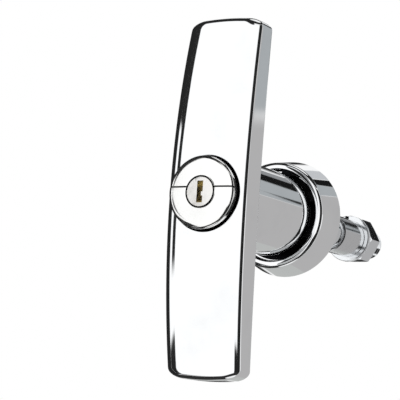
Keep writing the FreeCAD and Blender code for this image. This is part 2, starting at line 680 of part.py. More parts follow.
def spindle():
    """The rod from the stem through the door, with its shoulder and its threaded end."""
    body = new_body("spindle")
    rod = turned(body, "rod", [
        Corner("0", "Place.spindle_front"),
        Corner("Place.spindle_radius", "Place.spindle_front"),
        Corner("Place.spindle_radius", "Size.spindle_shoulder"),
        Corner("Size.thread_radius", "Size.spindle_shoulder"),
        Corner("Size.thread_radius", "Place.washer_back"),
        Corner("Place.mesh_radius", "Place.washer_back"),
        Corner("Place.mesh_radius", "Place.tail_start"),
        Corner("Size.thread_radius", "Place.tail_start"),
        Corner("Size.thread_radius", "Place.spindle_end"),
        Corner("0", "Place.spindle_end"),
    ])
    bevel_edges(body, "tip", rod, at_ring("Size.thread_radius", "Place.spindle_end"),
                "Size.thread_tip")
    cross = new_sketch(body, "cross_pin_outline", "XY_Plane")
    draw_circle(cross, "0", "Place.web_middle", "Size.cross_pin_radius")
    cut_through(body, "cross_pin_hole", cross)


def straight_pin(label, role, across, along, radius, start, length):
    """A plain pin with broken ends, square to one of the origin planes."""
    body = new_body(label)
    outline = new_sketch(body, "pin_outline", role, start)
    draw_circle(outline, across, along, radius)
    pin = body.newObject("PartDesign::Pad", "pin")
    pin.Profile = outline
    pin.setExpression("Length", length)
    bevel_edges(body, "pin_ends", pin, lambda point: True, "Size.fillet_hairline / 2")


def pins():
    """The three pins: spindle in stem, cylinder in stem, cam on tail."""
    half_cross = "(Place.journal_radius - Size.cross_pin_sink)"
    straight_pin("spindle_cross_pin", "XY_Plane", "0", "Place.web_middle",
                 "Size.cross_pin_radius", "-" + half_cross, "2 * " + half_cross)
    straight_pin("lock_retaining_pin", "YZ_Plane", "Place.lock_pin_middle", "0",
                 "Size.lock_pin_radius", "-Place.lock_pin_outer",
                 "Place.lock_pin_outer - Place.lock_pin_inner")
    half_cam = "(Place.cam_radius - Size.cam_gap / 2)"
    straight_pin("cam_pin", "YZ_Plane", "Place.cam_pin_middle", "0",
                 "Size.cam_pin_radius", "-" + half_cam, "2 * " + half_cam)


def spacer_sleeve():
    """The sleeve on the thread, seated on the spindle's shoulder."""
    body = new_body("spacer_sleeve")
    sleeve = turned(body, "sleeve", tube_corners(
        "Place.slip_bore", "Place.sleeve_radius",
        "Size.spindle_shoulder", "Place.sleeve_back"))
    ends = ("Size.spindle_shoulder", "Place.sleeve_back")
    tests = [at_ring("Place.sleeve_radius", place) for place in ends]
    bevel_edges(body, "sleeve_ends", sleeve, lambda point: any(test(point) for test in tests),
                "Size.fillet_hairline")


def lock_washer():
    """The split spring washer under the nut."""
    body = new_body("lock_washer")
    turned(body, "washer", tube_corners("Place.slip_bore", "Place.washer_radius",
                                        "Place.sleeve_back", "Place.washer_back"))
    split = new_sketch(body, "split_outline", "XY_Plane")
    half = "Size.washer_split / 2"
    draw(split, [Corner("-Size.washer_split", "Place.sleeve_back"),
                 Corner("0", "Place.sleeve_back"),
                 Corner("Size.washer_split", "Place.washer_back"),
                 Corner("0", "Place.washer_back")])
    cut_through(body, "split", split, "One side").Reversed = True


def hex_nut():
    """The nut, its flats above and below, its corners bevelled at both ends."""
    body = new_body("hex_nut")
    profile = new_sketch(body, "hexagon", "XZ_Plane", facing("Place.nut_back"))
    corner_radius = "(Place.nut_half / cos(30))"
    draw(profile, [Corner(f"{corner_radius} * cos({60 * turn})", f"{corner_radius} * sin({60 * turn})")
                   for turn in range(6)])
    draw_circle(profile, "0", "0", "Place.mesh_radius")
    pad_forward(body, "nut", profile, "Size.nut_height")
    flat = "Place.nut_half"
    for end, place, way in (("front", "Place.washer_back", "+"), ("back", "Place.nut_back", "-")):
        turned(body, end + "_bevel", [
            Corner(flat, place),
            Corner(f"{flat} + 2 * Size.nut_bevel", place),
            Corner(f"{flat} + 2 * Size.nut_bevel", f"{place} {way} Size.nut_bevel"),
        ], "PartDesign::Groove")


def lock_housing():
    """The cylinder's head and barrel, bored for the plug, with channels for the tumblers."""
    body = new_body("lock_housing")
    shell = turned(body, "cylinder", [
        Corner("0", "Place.head_face", "Size.head_crown"),
        Corner("Place.head_radius", "Place.head_rim"),
        Corner("Place.head_radius", "Place.head_seat_face"),
        Corner("Place.barrel_radius", "Place.head_seat_face"),
        Corner("Place.barrel_radius", "Place.barrel_end"),
        Corner("0", "Place.barrel_end"),
    ])
    round_edges(body, "head_edge", shell, at_ring("Place.head_radius", "Place.head_rim"),
                "Size.head_round")
    front = "Place.head_face - Size.head_dome"
    flange_hole = "Place.plug_flange_radius + Size.running_gap"
    turned(body, "plug_hole", [
        Corner("0", front),
        Corner(flange_hole, front),
        Corner(flange_hole, "Place.plug_flange_back + Size.axial_gap"),
        Corner("Place.plug_bore", "Place.plug_flange_back + Size.axial_gap"),
        Corner("Place.plug_bore", "Place.plug_end"),
        Corner("0", "Place.plug_end"),
    ], "PartDesign::Groove")
    half_seal = "(Size.seal_section + Size.seal_gap)"
    turned(body, "seal_groove", tube_corners(
        "Place.seal_floor", "Place.barrel_radius + Size.seal_section",
        f"Place.seal_middle - {half_seal}", f"Place.seal_middle + {half_seal}"),
        "PartDesign::Groove")
    start = "Place.first_tumbler - Size.tumbler_thick"
    channels = new_sketch(body, "channel_outline", "XZ_Plane", facing(start))
    corner = "Place.channel_side"
    draw(channels, [
        Corner("-" + corner, "-" + corner),
        Corner("Place.channel_top", "-" + corner),
        Corner("Place.channel_top", corner),
        Corner(corner, corner),
        Corner(corner, "Place.channel_top"),
        Corner("-" + corner, "Place.channel_top"),
    ])
    cut_back(body, "channels", channels, f"Place.plug_end - ({start})")
    keeper = new_sketch(body, "lock_pin_outline", "YZ_Plane", "-Place.lock_pin_inner")
    draw_circle(keeper, "Place.lock_pin_middle", "0", "Size.lock_pin_radius")
    cut_through(body, "lock_pin_hole", keeper, "One side")


def sealing_ring():
    """The rubber ring round the barrel that keeps water out of the stem."""
    body = new_body("sealing_ring")
    profile = new_sketch(body, "ring_section", "XY_Plane")
    draw_circle(profile, "Place.seal_radius", "Place.seal_middle", "Size.seal_section")
    turn_sketch(body, "ring", profile, "PartDesign::Revolution")


def key_plug():
    """The plug: flange, barrel, tail, keyway with its ward, and a slot for each tumbler."""
    body = new_body("key_plug")
    turned(body, "plug", [
        Corner("0", "Place.plug_face"),
        Corner("Place.plug_flange_radius", "Place.plug_face", None, "Size.fillet_hairline"),
        Corner("Place.plug_flange_radius", "Place.plug_flange_back"),
        Corner("Size.plug_radius", "Place.plug_flange_back"),
        Corner("Size.plug_radius", "Place.plug_end"),
        Corner("Size.tail_radius", "Place.plug_end"),
        Corner("Size.tail_radius", "Place.tail_end"),
        Corner("0", "Place.tail_end"),
    ])
    turned(body, "clip_groove", tube_corners(
        "Size.plug_clip_groove", "Place.plug_bore", "Place.clip_front", "Place.clip_back"),
        "PartDesign::Groove")
    keyway(body)
    tumbler_slots(body)
    hole = new_sketch(body, "cam_pin_outline", "YZ_Plane")
    draw_circle(hole, "Place.cam_pin_middle", "0", "Size.cam_pin_radius")
    cut_through(body, "cam_pin_hole", hole)


def keyway(body):
    """The upright slot for the key, narrowed on one side by a ward."""
    profile = new_sketch(body, "keyway_outline", "XZ_Plane", facing("Place.plug_face"))
    half_width = "Size.key_slot_width / 2"
    half_height = "Size.key_slot_height / 2"
    ward = f"{half_width} - Size.ward_width"
    draw(profile, [
        Corner("-" + half_width, "-" + half_height),
        Corner(half_width, "-" + half_height),
        Corner(half_width, "-Size.ward_height"),
        Corner(ward, "-Size.ward_height"),
        Corner(ward, "0"),
        Corner(half_width, "0"),
        Corner(half_width, half_height),
        Corner("-" + half_width, half_height),
    ])
    cut_back(body, "keyway", profile, "Place.keyway_end - Place.plug_face")


def tumbler_slots(body):
    """A slot across the plug and a well beside it for the spring, repeated along the plug."""
    slot = new_sketch(body, "slot_outline", "XY_Plane")
    half = "(Place.tumbler_half + Size.tumbler_gap)"
    front = "Place.first_tumbler - Place.tumbler_slot / 2"
    back = "Place.first_tumbler + Place.tumbler_slot / 2"
    draw(slot, box_corners("-" + half, front, half, back))
    slot_cut = cut_through(body, "tumbler_slot", slot)
    well = new_sketch(body, "well_outline", "XZ_Plane", facing(front))
    draw(well, box_corners("0", "Place.spring_floor", "Place.lug_side + Size.tumbler_gap",
                           "Place.lug_top + Size.tumbler_travel + 2 * Size.tumbler_gap"))
    well_cut = cut_back(body, "spring_well", well, "Place.tumbler_slot")
    DOC.recompute()
    row = body.newObject("PartDesign::LinearPattern", "tumbler_row")
    row.Originals = [slot_cut, well_cut]
    row.Direction = (slot, ["V_Axis"])
    row.setExpression("Length", "Place.last_tumbler - Place.first_tumbler")
    row.setExpression("Occurrences", "Size.tumbler_count")
    body.Tip = row


def tumbler_place(number):
    return f"(Place.first_tumbler + {number} * Size.tumbler_pitch)"


def tumbler(number):
    """A wafer tumbler with its window at this cut of the key, and a lug that sits on its spring."""
    body = new_body(f"tumbler_{number + 1}")
    back = f"{tumbler_place(number)} + Size.tumbler_thick / 2"
    profile = new_sketch(body, "wafer_outline", "XZ_Plane", facing(back))
    half = "Place.tumbler_half"
    shoulder = f"sqrt(Place.tumbler_radius^2 - ({half})^2)"
    crown = f"(Place.tumbler_radius - {shoulder})"
    draw(profile, [
        Corner(half, "-" + shoulder),
        Corner(half, "Size.lug_place"),
        Corner("Place.lug_side", "Size.lug_place"),
        Corner("Place.lug_side", "Place.lug_top"),
        Corner(half, "Place.lug_top"),
        Corner(half, shoulder, crown),
        Corner("-" + half, shoulder),
        Corner("-" + half, "-" + shoulder, crown),
    ])
    cut = KEY_CUTS[number % len(KEY_CUTS)]
    window = "Place.window_half"
    middle = f"{cut} * Size.cut_step"
    draw(profile, box_corners("-" + window, f"{middle} - Size.window_height / 2",
                              window, f"{middle} + Size.window_height / 2"))
    pad_forward(body, "wafer", profile, "Size.tumbler_thick")


def tumbler_spring(number):
    """The coil spring in the plug that lifts a tumbler when the key is drawn."""
    body = new_body(f"tumbler_spring_{number + 1}")
    profile = new_sketch(body, "wire_section", "XZ_Plane", facing(tumbler_place(number)))
    profile.setExpression("AttachmentOffset.Base.x", "Place.spring_middle")
    half = "Size.spring_wire"
    draw(profile, box_corners(f"Size.spring_radius - {half}", "Place.spring_floor",
                              f"Size.spring_radius + {half}", f"Place.spring_floor + 2 * {half}"))
    DOC.recompute()
    coil = body.newObject("PartDesign::AdditiveHelix", "coil")
    coil.Profile = profile
    coil.ReferenceAxis = (profile, ["V_Axis"])
    coil.Mode = "height-turns-angle"
    coil.setExpression("Height", "Size.spring_height - 2 * Size.spring_wire")
    coil.setExpression("Turns", "Size.spring_turns")


def plug_clip():
    """The open ring that holds the plug at the barrel's end."""
    body = new_body("plug_clip")
    turned(body, "ring", tube_corners("Size.plug_clip_groove", "Size.plug_clip_radius",
                                      "Place.clip_front", "Place.clip_back"))
    mouth = new_sketch(body, "mouth_outline", "XZ_Plane", facing("Place.clip_front"))
    half = "Size.plug_clip_grip"
    draw(mouth, box_corners("-" + half, "-Size.plug_clip_radius - Size.running_gap", half, "0"))
    cut_back(body, "mouth", mouth, "Size.plug_clip_thick")


def bolt_cam():
    """The cup on the plug's tail, with the crank pin that moves the bolt."""
    body = new_body("bolt_cam")
    turned(body, "cup", [
        Corner("Size.tail_radius", "Place.cam_front"),
        Corner("Place.cam_radius", "Place.cam_front"),
        Corner("Place.cam_radius", "Place.cam_back"),
        Corner("0", "Place.cam_back"),
        Corner("0", "Place.cup_bottom"),
        Corner("Size.tail_radius", "Place.cup_bottom"),
    ])
    crank = new_sketch(body, "crank_pin_outline", "XZ_Plane",
                       facing("Place.bolt_back - Size.slide_gap"))
    draw_circle(crank, "-Place.crank_side", "Place.crank_up", "Size.crank_pin_radius")
    pad_forward(body, "crank_pin", crank,
                "Place.bolt_back - Size.slide_gap - Place.cam_back + Size.fillet_hairline")
    hole = new_sketch(body, "cam_pin_outline", "YZ_Plane")
    draw_circle(hole, "Place.cam_pin_middle", "0", "Size.cam_pin_radius")
    cut_through(body, "cam_pin_hole", hole)


def locking_bolt():
    """The flat bolt, drawn in below the neck's surface, with the crank pin's slot."""
    body = new_body("locking_bolt")
    half = "Size.bolt_width / 2"
    tip = "Place.neck_radius - Size.bolt_tip_sink"
    profile = new_sketch(body, "bolt_outline", "XZ_Plane", facing("Place.bolt_back"))
    draw(profile, [
        Corner("-Size.bolt_tail", "-" + half, None, "Size.bolt_corner"),
        Corner(tip, "-" + half, None, "Size.bolt_corner"),
        Corner(tip, half, None, "Size.bolt_corner"),
        Corner("-Size.bolt_tail", half, None, "Size.bolt_corner"),
    ])
    slot_half = "(Size.crank_pin_radius + Size.crank_gap)"
    draw(profile, box_corners(f"-Place.crank_side - {slot_half}",
                              f"Place.crank_up - {slot_half}",
                              f"-Place.crank_side + {slot_half}",
                              f"Size.crank + {slot_half}", "Size.crank_end_round"))
    pad_forward(body, "bolt", profile, "Size.bolt_thick")


def build_all():
    handle_casting()
    rosette()
    bearing_bush()
    disc_spring()
    stem_circlip()
    spindle()
    pins()
    spacer_sleeve()
    lock_washer()
    hex_nut()
    lock_housing()
    sealing_ring()
    key_plug()
    plug_clip()
    bolt_cam()
    locking_bolt()
    for number in range(int(value("Size.tumbler_count"))):
        tumbler(number)
        tumbler_spring(number)


def check_all():
    """Stop if any object has failed or any piece has no sound solid."""
    DOC.recompute()
    for item in DOC.Objects:
        if "Invalid" in item.State or "Error" in item.State:
            raise RuntimeError(f"{item.Label} has failed: {item.State}")
    pieces = [item for item in DOC.Objects if item.TypeId == "PartDesign::Body"]
    for piece in pieces:
        if piece.Shape.isNull() or not piece.Shape.isValid() or not piece.Shape.Solids:
            raise RuntimeError(f"{piece.Label} has no sound solid")
    return pieces


def write_all(pieces):
    os.makedirs("parts", exist_ok=True)
    for piece in pieces:
        piece.Shape.exportStep(f"parts/{piece.Label}.step")
        print(f"{piece.Label}: {len(piece.Shape.Solids)} solid, {piece.Shape.Volume:.2f} mm3")


build_all()
write_all(check_all())
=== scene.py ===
"""Dress the locking T-handle: polished casting, key cylinder, rosette and threaded spindle.

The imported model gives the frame, in metres. Sizes here are in millimetres, as on the drawing,
and every mesh is brought to metres when its piece is finished.
"""

from __future__ import annotations

import logging
import math
from collections.abc import Iterable, Sequence
from dataclasses import dataclass
from enum import Enum
from typing import Any

import bmesh
import bpy
from mathutils import Matrix, Vector

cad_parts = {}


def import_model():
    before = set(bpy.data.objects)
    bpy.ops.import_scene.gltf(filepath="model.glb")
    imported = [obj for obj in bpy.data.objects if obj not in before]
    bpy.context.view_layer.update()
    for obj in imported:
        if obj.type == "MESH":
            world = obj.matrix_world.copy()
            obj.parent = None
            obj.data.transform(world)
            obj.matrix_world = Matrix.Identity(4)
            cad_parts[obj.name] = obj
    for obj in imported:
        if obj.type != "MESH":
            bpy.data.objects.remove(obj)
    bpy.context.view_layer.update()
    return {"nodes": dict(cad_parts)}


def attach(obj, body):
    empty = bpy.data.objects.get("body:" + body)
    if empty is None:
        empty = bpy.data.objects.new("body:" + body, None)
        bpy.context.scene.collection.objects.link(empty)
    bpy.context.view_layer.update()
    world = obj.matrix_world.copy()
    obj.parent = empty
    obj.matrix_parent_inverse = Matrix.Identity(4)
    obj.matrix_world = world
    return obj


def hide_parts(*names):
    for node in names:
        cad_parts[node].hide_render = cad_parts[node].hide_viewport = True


Shape = bmesh.types.BMesh
Piece = bpy.types.Object
Point = tuple[float, float, float]
Span = tuple[float, float]
Pin = tuple[float, Point, Point]

LOG = logging.getLogger("twist_handle_lock")

MM = 0.001
FULL_TURN = 2.0 * math.pi
QUARTER_TURN = math.pi / 2.0
MIDDLE = (0.0, 0.0, 0.0)
AXIS = (0.0, 1.0, 0.0)
ON_AXIS = 1e-6
WELD = 1e-5
NEAR = 1e-3
WIDE_STEPS = 160
BORE_STEPS = 120
MEDIUM_STEPS = 96
SMALL_STEPS = 64
LEAST_FEATHER = 1e-4


class Body(Enum):
    """The bodies that carry the pieces made here, by the names in the record."""

    ROSETTE = "rosette"
    HANDLE = "handle"
    PLUG = "plug"


class Slot(Enum):
    """The finishes that the record knows."""

    CHROME = "chrome_plate"
    CYLINDER = "cylinder_chrome"
    PLUG = "plug_chrome"
    BRASS = "tumbler_brass"
    ZINC = "zinc_steel"
    SLEEVE = "sleeve_steel"
    CAM = "cam_steel"
    SPRING = "spring_steel"
    BUSH = "bush_plastic"
    SEAL = "seal_rubber"


class Grain(Enum):
    """Which way the marks of a finish run."""

    NONE = 0
    TURNED = 1


class Tint(Enum):
    """The colours of the studio's cards."""

    WHITE = (1.0, 1.0, 1.0)
    WARM = (1.0, 0.985, 0.985)
    GREENISH = (0.98, 1.0, 0.98)
    BLUE = (0.92, 0.97, 1.0)
    PALE_BLUE = (0.95, 0.97, 1.0)


@dataclass(frozen=True)
class Ring:
    """One corner of a turned profile.

    Args:
        radius: distance from the spindle's axis.
        place: place along the axis.
        round_by: width of the bevel on this corner, or 0 for a sharp one.
        steps: how many steps the bevel has.
    """

    radius: float
    place: float
    round_by: float = 0.0
    steps: int = 2


@dataclass(frozen=True)
class PaintedShadeRing:
    """A ring round the spindle's axis where shade is painted: its faces are made near black and
    rougher.

    Args:
        inner: inner radius.
        outer: outer radius.
        front: front end along the axis.
        back: back end along the axis.
    """

    inner: float
    outer: float
    front: float
    back: float

    def holds(self, middle: Vector) -> bool:
        """Say whether a face with this middle, in metres, lies in the hollow."""
        radius = math.hypot(middle.x, middle.z) / MM
        return self.inner < radius < self.outer and self.front < middle.y / MM < self.back


@dataclass(frozen=True)
class PaintedShadeBox:
    """A box whose faces get painted shade, near black and rougher, such as a groove.

    Args:
        low: lowest corner.
        high: highest corner.
    """

    low: Point
    high: Point

    def holds(self, middle: Vector) -> bool:
        """Say whether a face with this middle, in metres, lies in the box."""
        return all(low < place / MM < high
                   for low, place, high in zip(self.low, middle, self.high))


def all_of(shape: Shape) -> list[Any]:
    """List a shape's vertices, edges and faces."""
    return shape.verts[:] + shape.edges[:] + shape.faces[:]


def verts_of(items: Iterable[Any]) -> list[bmesh.types.BMVert]:
    """Pick the vertices out of what an operator gave back."""
    return [item for item in items if isinstance(item, bmesh.types.BMVert)]


def face_out(shape: Shape) -> None:
    """Turn a closed shape's faces outwards."""
    bmesh.ops.recalc_face_normals(shape, faces=shape.faces[:])


def direction(azimuth: float, height: float) -> Vector:
    """Find a direction from the lock.

    Args:
        azimuth: degrees from the front towards the right.
        height: degrees above the horizon.

    Returns:
        The direction, one long.
    """
    turn, rise = math.radians(azimuth), math.radians(height)
    level = math.cos(rise)
    return Vector((math.sin(turn) * level, -math.cos(turn) * level, math.sin(rise)))


def link_mesh(name: str, shape: Shape) -> Piece:
    """Turn a shape into an object of the scene.

    Args:
        name: the object's name.
        shape: the shape, in metres, which is freed.

    Returns:
        The object.
    """
    data = bpy.data.meshes.new(name)
    shape.to_mesh(data)
    shape.free()
    made = bpy.data.objects.new(name, data)
    bpy.context.scene.collection.objects.link(made)
    return made


@dataclass(frozen=True)
class Turner:
    """Makes turned shapes and cuts, and finishes meshes as pieces of the lock.

    Args:
        around: steps of a full turn, where a profile asks for no other number.
        bent_steps: steps of a bent block.
        rod_steps: steps round a rod.
        sharp: angle in degrees past which an edge stays sharp.
    """

    around: int = 128
    bent_steps: int = 12
    rod_steps: int = 32
    sharp: float = 28.0

    def turned(self, profile: Sequence[Ring], around: int | None = None) -> Shape:
        """Spin a profile about the spindle's axis.

        Args:
            profile: the corners in order. The last one joins the first, but not along the axis.
            around: steps in the full turn, or the usual number.

        Returns:
            The turned shape, with its marked corners bevelled.
        """
        shape = bmesh.new()
        corners = [shape.verts.new((ring.radius, ring.place, 0.0)) for ring in profile]
        for start, end in zip(corners, corners[1:] + corners[:1]):
            if start.co.x > ON_AXIS or end.co.x > ON_AXIS:
                shape.edges.new((start, end))
        bmesh.ops.spin(shape, geom=all_of(shape), cent=MIDDLE, axis=AXIS, angle=FULL_TURN,
                       steps=around or self.around, use_merge=True)
        bmesh.ops.remove_doubles(shape, verts=shape.verts[:], dist=WELD)
        face_out(shape)
        for ring in profile:
            if ring.round_by > 0.0:
                self.round_ring(shape, ring)
        return shape

    @staticmethod
    def round_ring(shape: Shape, ring: Ring) -> None:
        """Bevel the edges on one corner's ring.

        Args:
            shape: the turned shape.
            ring: the corner.
        """
        def on_ring(vert: bmesh.types.BMVert) -> bool:
            """Say whether a vertex lies on the ring."""
            radius = math.hypot(vert.co.x, vert.co.z)
            return abs(radius - ring.radius) < NEAR and abs(vert.co.y - ring.place) < NEAR

        edges = [edge for edge in shape.edges if all(on_ring(vert) for vert in edge.verts)]
        bmesh.ops.bevel(shape, geom=edges, offset=ring.round_by, offset_type="OFFSET",
                        affect="EDGES", segments=ring.steps, profile=0.5, material=-1,
                        clamp_overlap=True)

    @staticmethod
    def block(low: Point, high: Point) -> Shape:
        """Make a block between two corners.

        Args:
            low: lowest corner.
            high: highest corner.

        Returns:
            The block.
        """
        shape = bmesh.new()
        bmesh.ops.create_cube(shape, size=1.0)
        bmesh.ops.scale(shape, vec=Vector(high) - Vector(low), verts=shape.verts[:])
        bmesh.ops.translate(shape, vec=(Vector(high) + Vector(low)) / 2.0, verts=shape.verts[:])
        return shape

    def sector(self, radii: Span, depth: Span, angles: Span) -> Shape:
        """Make a block bent round the axis.

        Args:
            radii: inner and outer radius.
            depth: front and back end along the axis.
            angles: first and last angle in degrees, from +X towards +Z.

        Returns:
            The bent block.
        """
        (inner, outer), (front, back), (start, end) = radii, depth, angles
        shape = bmesh.new()
        section = [shape.verts.new((radius, place, 0.0)) for radius, place in
                   ((inner, front), (outer, front), (outer, back), (inner, back))]
        face = shape.faces.new(section)
        bmesh.ops.rotate(shape, cent=MIDDLE, verts=shape.verts[:],
                         matrix=Matrix.Rotation(-math.radians(start), 3, "Y"))
        bmesh.ops.spin(shape, geom=[face], cent=MIDDLE, axis=AXIS,
                       angle=-math.radians(end - start), steps=self.bent_steps, use_merge=False)
        bmesh.ops.remove_doubles(shape, verts=shape.verts[:], dist=WELD)
        bmesh.ops.holes_fill(shape, edges=shape.edges[:], sides=4)
        face_out(shape)
        return shape

    def rod(self, radius: float, start: Point, end: Point) -> Shape:
        """Make a plain rod between two points.

        Args:
            radius: the rod's radius.
            start: middle of one end.
            end: middle of the other end.

        Returns:
            The rod.
        """
        shape = bmesh.new()
        line = Vector(end) - Vector(start)
        turn = line.to_track_quat("Z", "Y").to_matrix().to_4x4()
        middle = Matrix.Translation((Vector(start) + Vector(end)) / 2.0)
        bmesh.ops.create_cone(shape, cap_ends=True, segments=self.rod_steps, radius1=radius,
                              radius2=radius, depth=line.length, matrix=middle @ turn)
        return shape

    @staticmethod
    def mesh(name: str, shape: Shape) -> Piece:
        """Turn a shape in millimetres into an object in metres.

        Args:
            name: the object's name.
            shape: the shape, which is freed.

        Returns:
            The object, linked to the scene.
        """
        bmesh.ops.scale(shape, vec=(MM, MM, MM), verts=shape.verts[:])
        return link_mesh(name, shape)

    def combine(self, piece: Piece, way: str, shapes: Iterable[Shape]) -> None:
        """Add shapes to a piece or cut them out of it, and keep the result in its mesh.

        Args:
            piece: the piece to change.
            way: the operation, as the Boolean modifier names it.
            shapes: the shapes, which are freed.
        """
        tools = [self.mesh(f"{piece.name}_tool_{number}", shape)
                 for number, shape in enumerate(shapes)]
        for tool in tools:
            change = piece.modifiers.new(tool.name, "BOOLEAN")
            change.operation = way
            change.solver = "EXACT"
            change.object = tool
        bpy.context.view_layer.update()
        evaluated = piece.evaluated_get(bpy.context.evaluated_depsgraph_get())
        result = bpy.data.meshes.new_from_object(evaluated)
        piece.modifiers.clear()
        spent = [piece.data] + [tool.data for tool in tools]
        piece.data = result
        result.name = piece.name
        for tool in tools:
            bpy.data.objects.remove(tool)
        for data in spent:
            bpy.data.meshes.remove(data)

    def finish(self, piece: Piece, finish: Finish, body: Body, nodes: Iterable[str],
               hollows: Sequence[PaintedShadeRing | PaintedShadeBox] = ()) -> Piece:
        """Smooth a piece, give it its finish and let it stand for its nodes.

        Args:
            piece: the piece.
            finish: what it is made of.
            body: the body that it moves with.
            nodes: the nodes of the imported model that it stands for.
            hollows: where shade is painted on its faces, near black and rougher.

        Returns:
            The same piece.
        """
        data = piece.data
        data.polygons.foreach_set("use_smooth", [True] * len(data.polygons))
        data.set_sharp_from_angle(angle=math.radians(self.sharp))
        # Painted shade: each face whose middle lies in one of the hollows is marked, and the
        # material darkens it.
        painted_shade = data.attributes.new("painted_shade", "FLOAT", "FACE")
        painted_shade.data.foreach_set("value", [
            float(any(hollow.holds(face.center) for hollow in hollows))
            for face in data.polygons])
        data.materials.clear()
        data.materials.append(finish.material())
        smoother = piece.modifiers.new("even_normals", "WEIGHTED_NORMAL")
        smoother.keep_sharp = True
        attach(piece, body.value)
        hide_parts(*nodes)
        LOG.info("%s: %d faces, on %s", piece.name, len(data.polygons), body.value)
        return piece


@dataclass(frozen=True)
class NodeBoard:
    """A tree of shader nodes that come ready set and joined.

    Args:
        tree: the tree of a material or a group.
    """

    tree: bpy.types.NodeTree

    def feed(self, node: bpy.types.Node, given: dict[str | int, Any]) -> None:
        """Give a node its values, and join outputs to it.

        Args:
            node: the node.
            given: for each input, its value or the output that feeds it.
        """
        for place, value in given.items():
            if isinstance(value, bpy.types.NodeSocket):
                self.tree.links.new(value, node.inputs[place])
            else:
                node.inputs[place].default_value = value

    def add(self, kind: str, given: dict[str | int, Any] | None = None,
            **settings: Any) -> bpy.types.NodeOutputs:
        """Add a shader node.

        Args:
            kind: its kind, without the words that all kinds begin with.
            given: for each input, its value or the output that feeds it.
            settings: its own options.

        Returns:
            Its outputs.
        """
        node = self.tree.nodes.new("ShaderNode" + kind)
        for option, value in settings.items():
            setattr(node, option, value)
        self.feed(node, given or {})
        return node.outputs

    @classmethod
    def material(cls, name: str) -> tuple[bpy.types.Material, NodeBoard]:
        """Start a material.

        Args:
            name: the material's name.

        Returns:
            The material and the board of its nodes.
        """
        made = bpy.data.materials.new(name)
        made.use_nodes = True
        return made, cls(made.node_tree)

    @classmethod
    def group(cls, name: str, numbers: dict[str, float], outputs: Iterable[str]) -> NodeBoard:
        """Start a group that reads a vector and some numbers, and puts numbers out.

        Args:
            name: the group's name.
            numbers: the usual value of each number that it reads.
            outputs: the name of each number that it puts out.

        Returns:
            The board, with the nodes named in and out.
        """
        tree = bpy.data.node_groups.new(name, "ShaderNodeTree")
        sockets = tree.interface
        sockets.new_socket(name="Vector", in_out="INPUT", socket_type="NodeSocketVector")
        for label, usual in numbers.items():
            sockets.new_socket(name=label, in_out="INPUT",
                               socket_type="NodeSocketFloat").default_value = usual
        for label in outputs:
            sockets.new_socket(name=label, in_out="OUTPUT", socket_type="NodeSocketFloat")
        tree.nodes.new("NodeGroupInput").name = "in"
        tree.nodes.new("NodeGroupOutput").name = "out"
        return cls(tree)


class SurfaceGroups:
    """The shader node groups that more than one finish uses, each built once."""

    @staticmethod
    def polish() -> bpy.types.NodeTree:
        """Build the group for a polished or plated surface.

        Returns:
            The group: haze, a cloudy mask for roughness, ripple, a height for the bump, and
            stain, a mask for the colour.
        """
        if "polish" in bpy.data.node_groups:
            return bpy.data.node_groups["polish"]
        board = NodeBoard.group("polish", {"Cloud Size": 90.0, "Fine Size": 1400.0},
                                ("Haze", "Ripple", "Stain"))
        given = board.tree.nodes["in"].outputs
        cloud = board.add("TexNoise", {"Vector": given["Vector"], "Scale": given["Cloud Size"],
                                       "Detail": 3.0, "Roughness": 0.55})["Fac"]
        fine = board.add("TexNoise", {"Vector": given["Vector"], "Scale": given["Fine Size"],
                                      "Detail": 2.0})["Fac"]
        haze = board.add("MapRange", {"Value": cloud, "From Min": 0.38, "From Max": 0.72})
        stain = board.add("MapRange", {"Value": cloud, "From Min": 0.52, "From Max": 0.78})
        ripple = board.add("Math", {0: fine, 1: 0.25, 2: cloud}, operation="MULTIPLY_ADD")
        board.feed(board.tree.nodes["out"], {
            "Haze": haze["Result"], "Ripple": ripple["Value"], "Stain": stain["Result"]})
        return board.tree

    @staticmethod
    def turning_marks() -> bpy.types.NodeTree:
        """Build the group for the marks that a lathe leaves round the axis.

        Returns:
            The group: marks, a height that changes with the radius and the place along the axis.
        """
        if "turning_marks" in bpy.data.node_groups:
            return bpy.data.node_groups["turning_marks"]
        board = NodeBoard.group("turning_marks", {"Pitch": 9000.0}, ("Marks",))
        given = board.tree.nodes["in"].outputs
        apart = board.add("SeparateXYZ", {"Vector": given["Vector"]})
        flat = board.add("CombineXYZ", {"X": apart["X"], "Z": apart["Z"]})
        radius = board.add("VectorMath", {0: flat["Vector"]}, operation="LENGTH")
        lay = board.add("CombineXYZ", {"X": radius["Value"], "Y": apart["Y"]})
        marks = board.add("TexNoise", {"Vector": lay["Vector"], "Scale": given["Pitch"],
                                       "Detail": 2.0})
        board.feed(board.tree.nodes["out"], {"Marks": marks["Fac"]})
        return board.tree


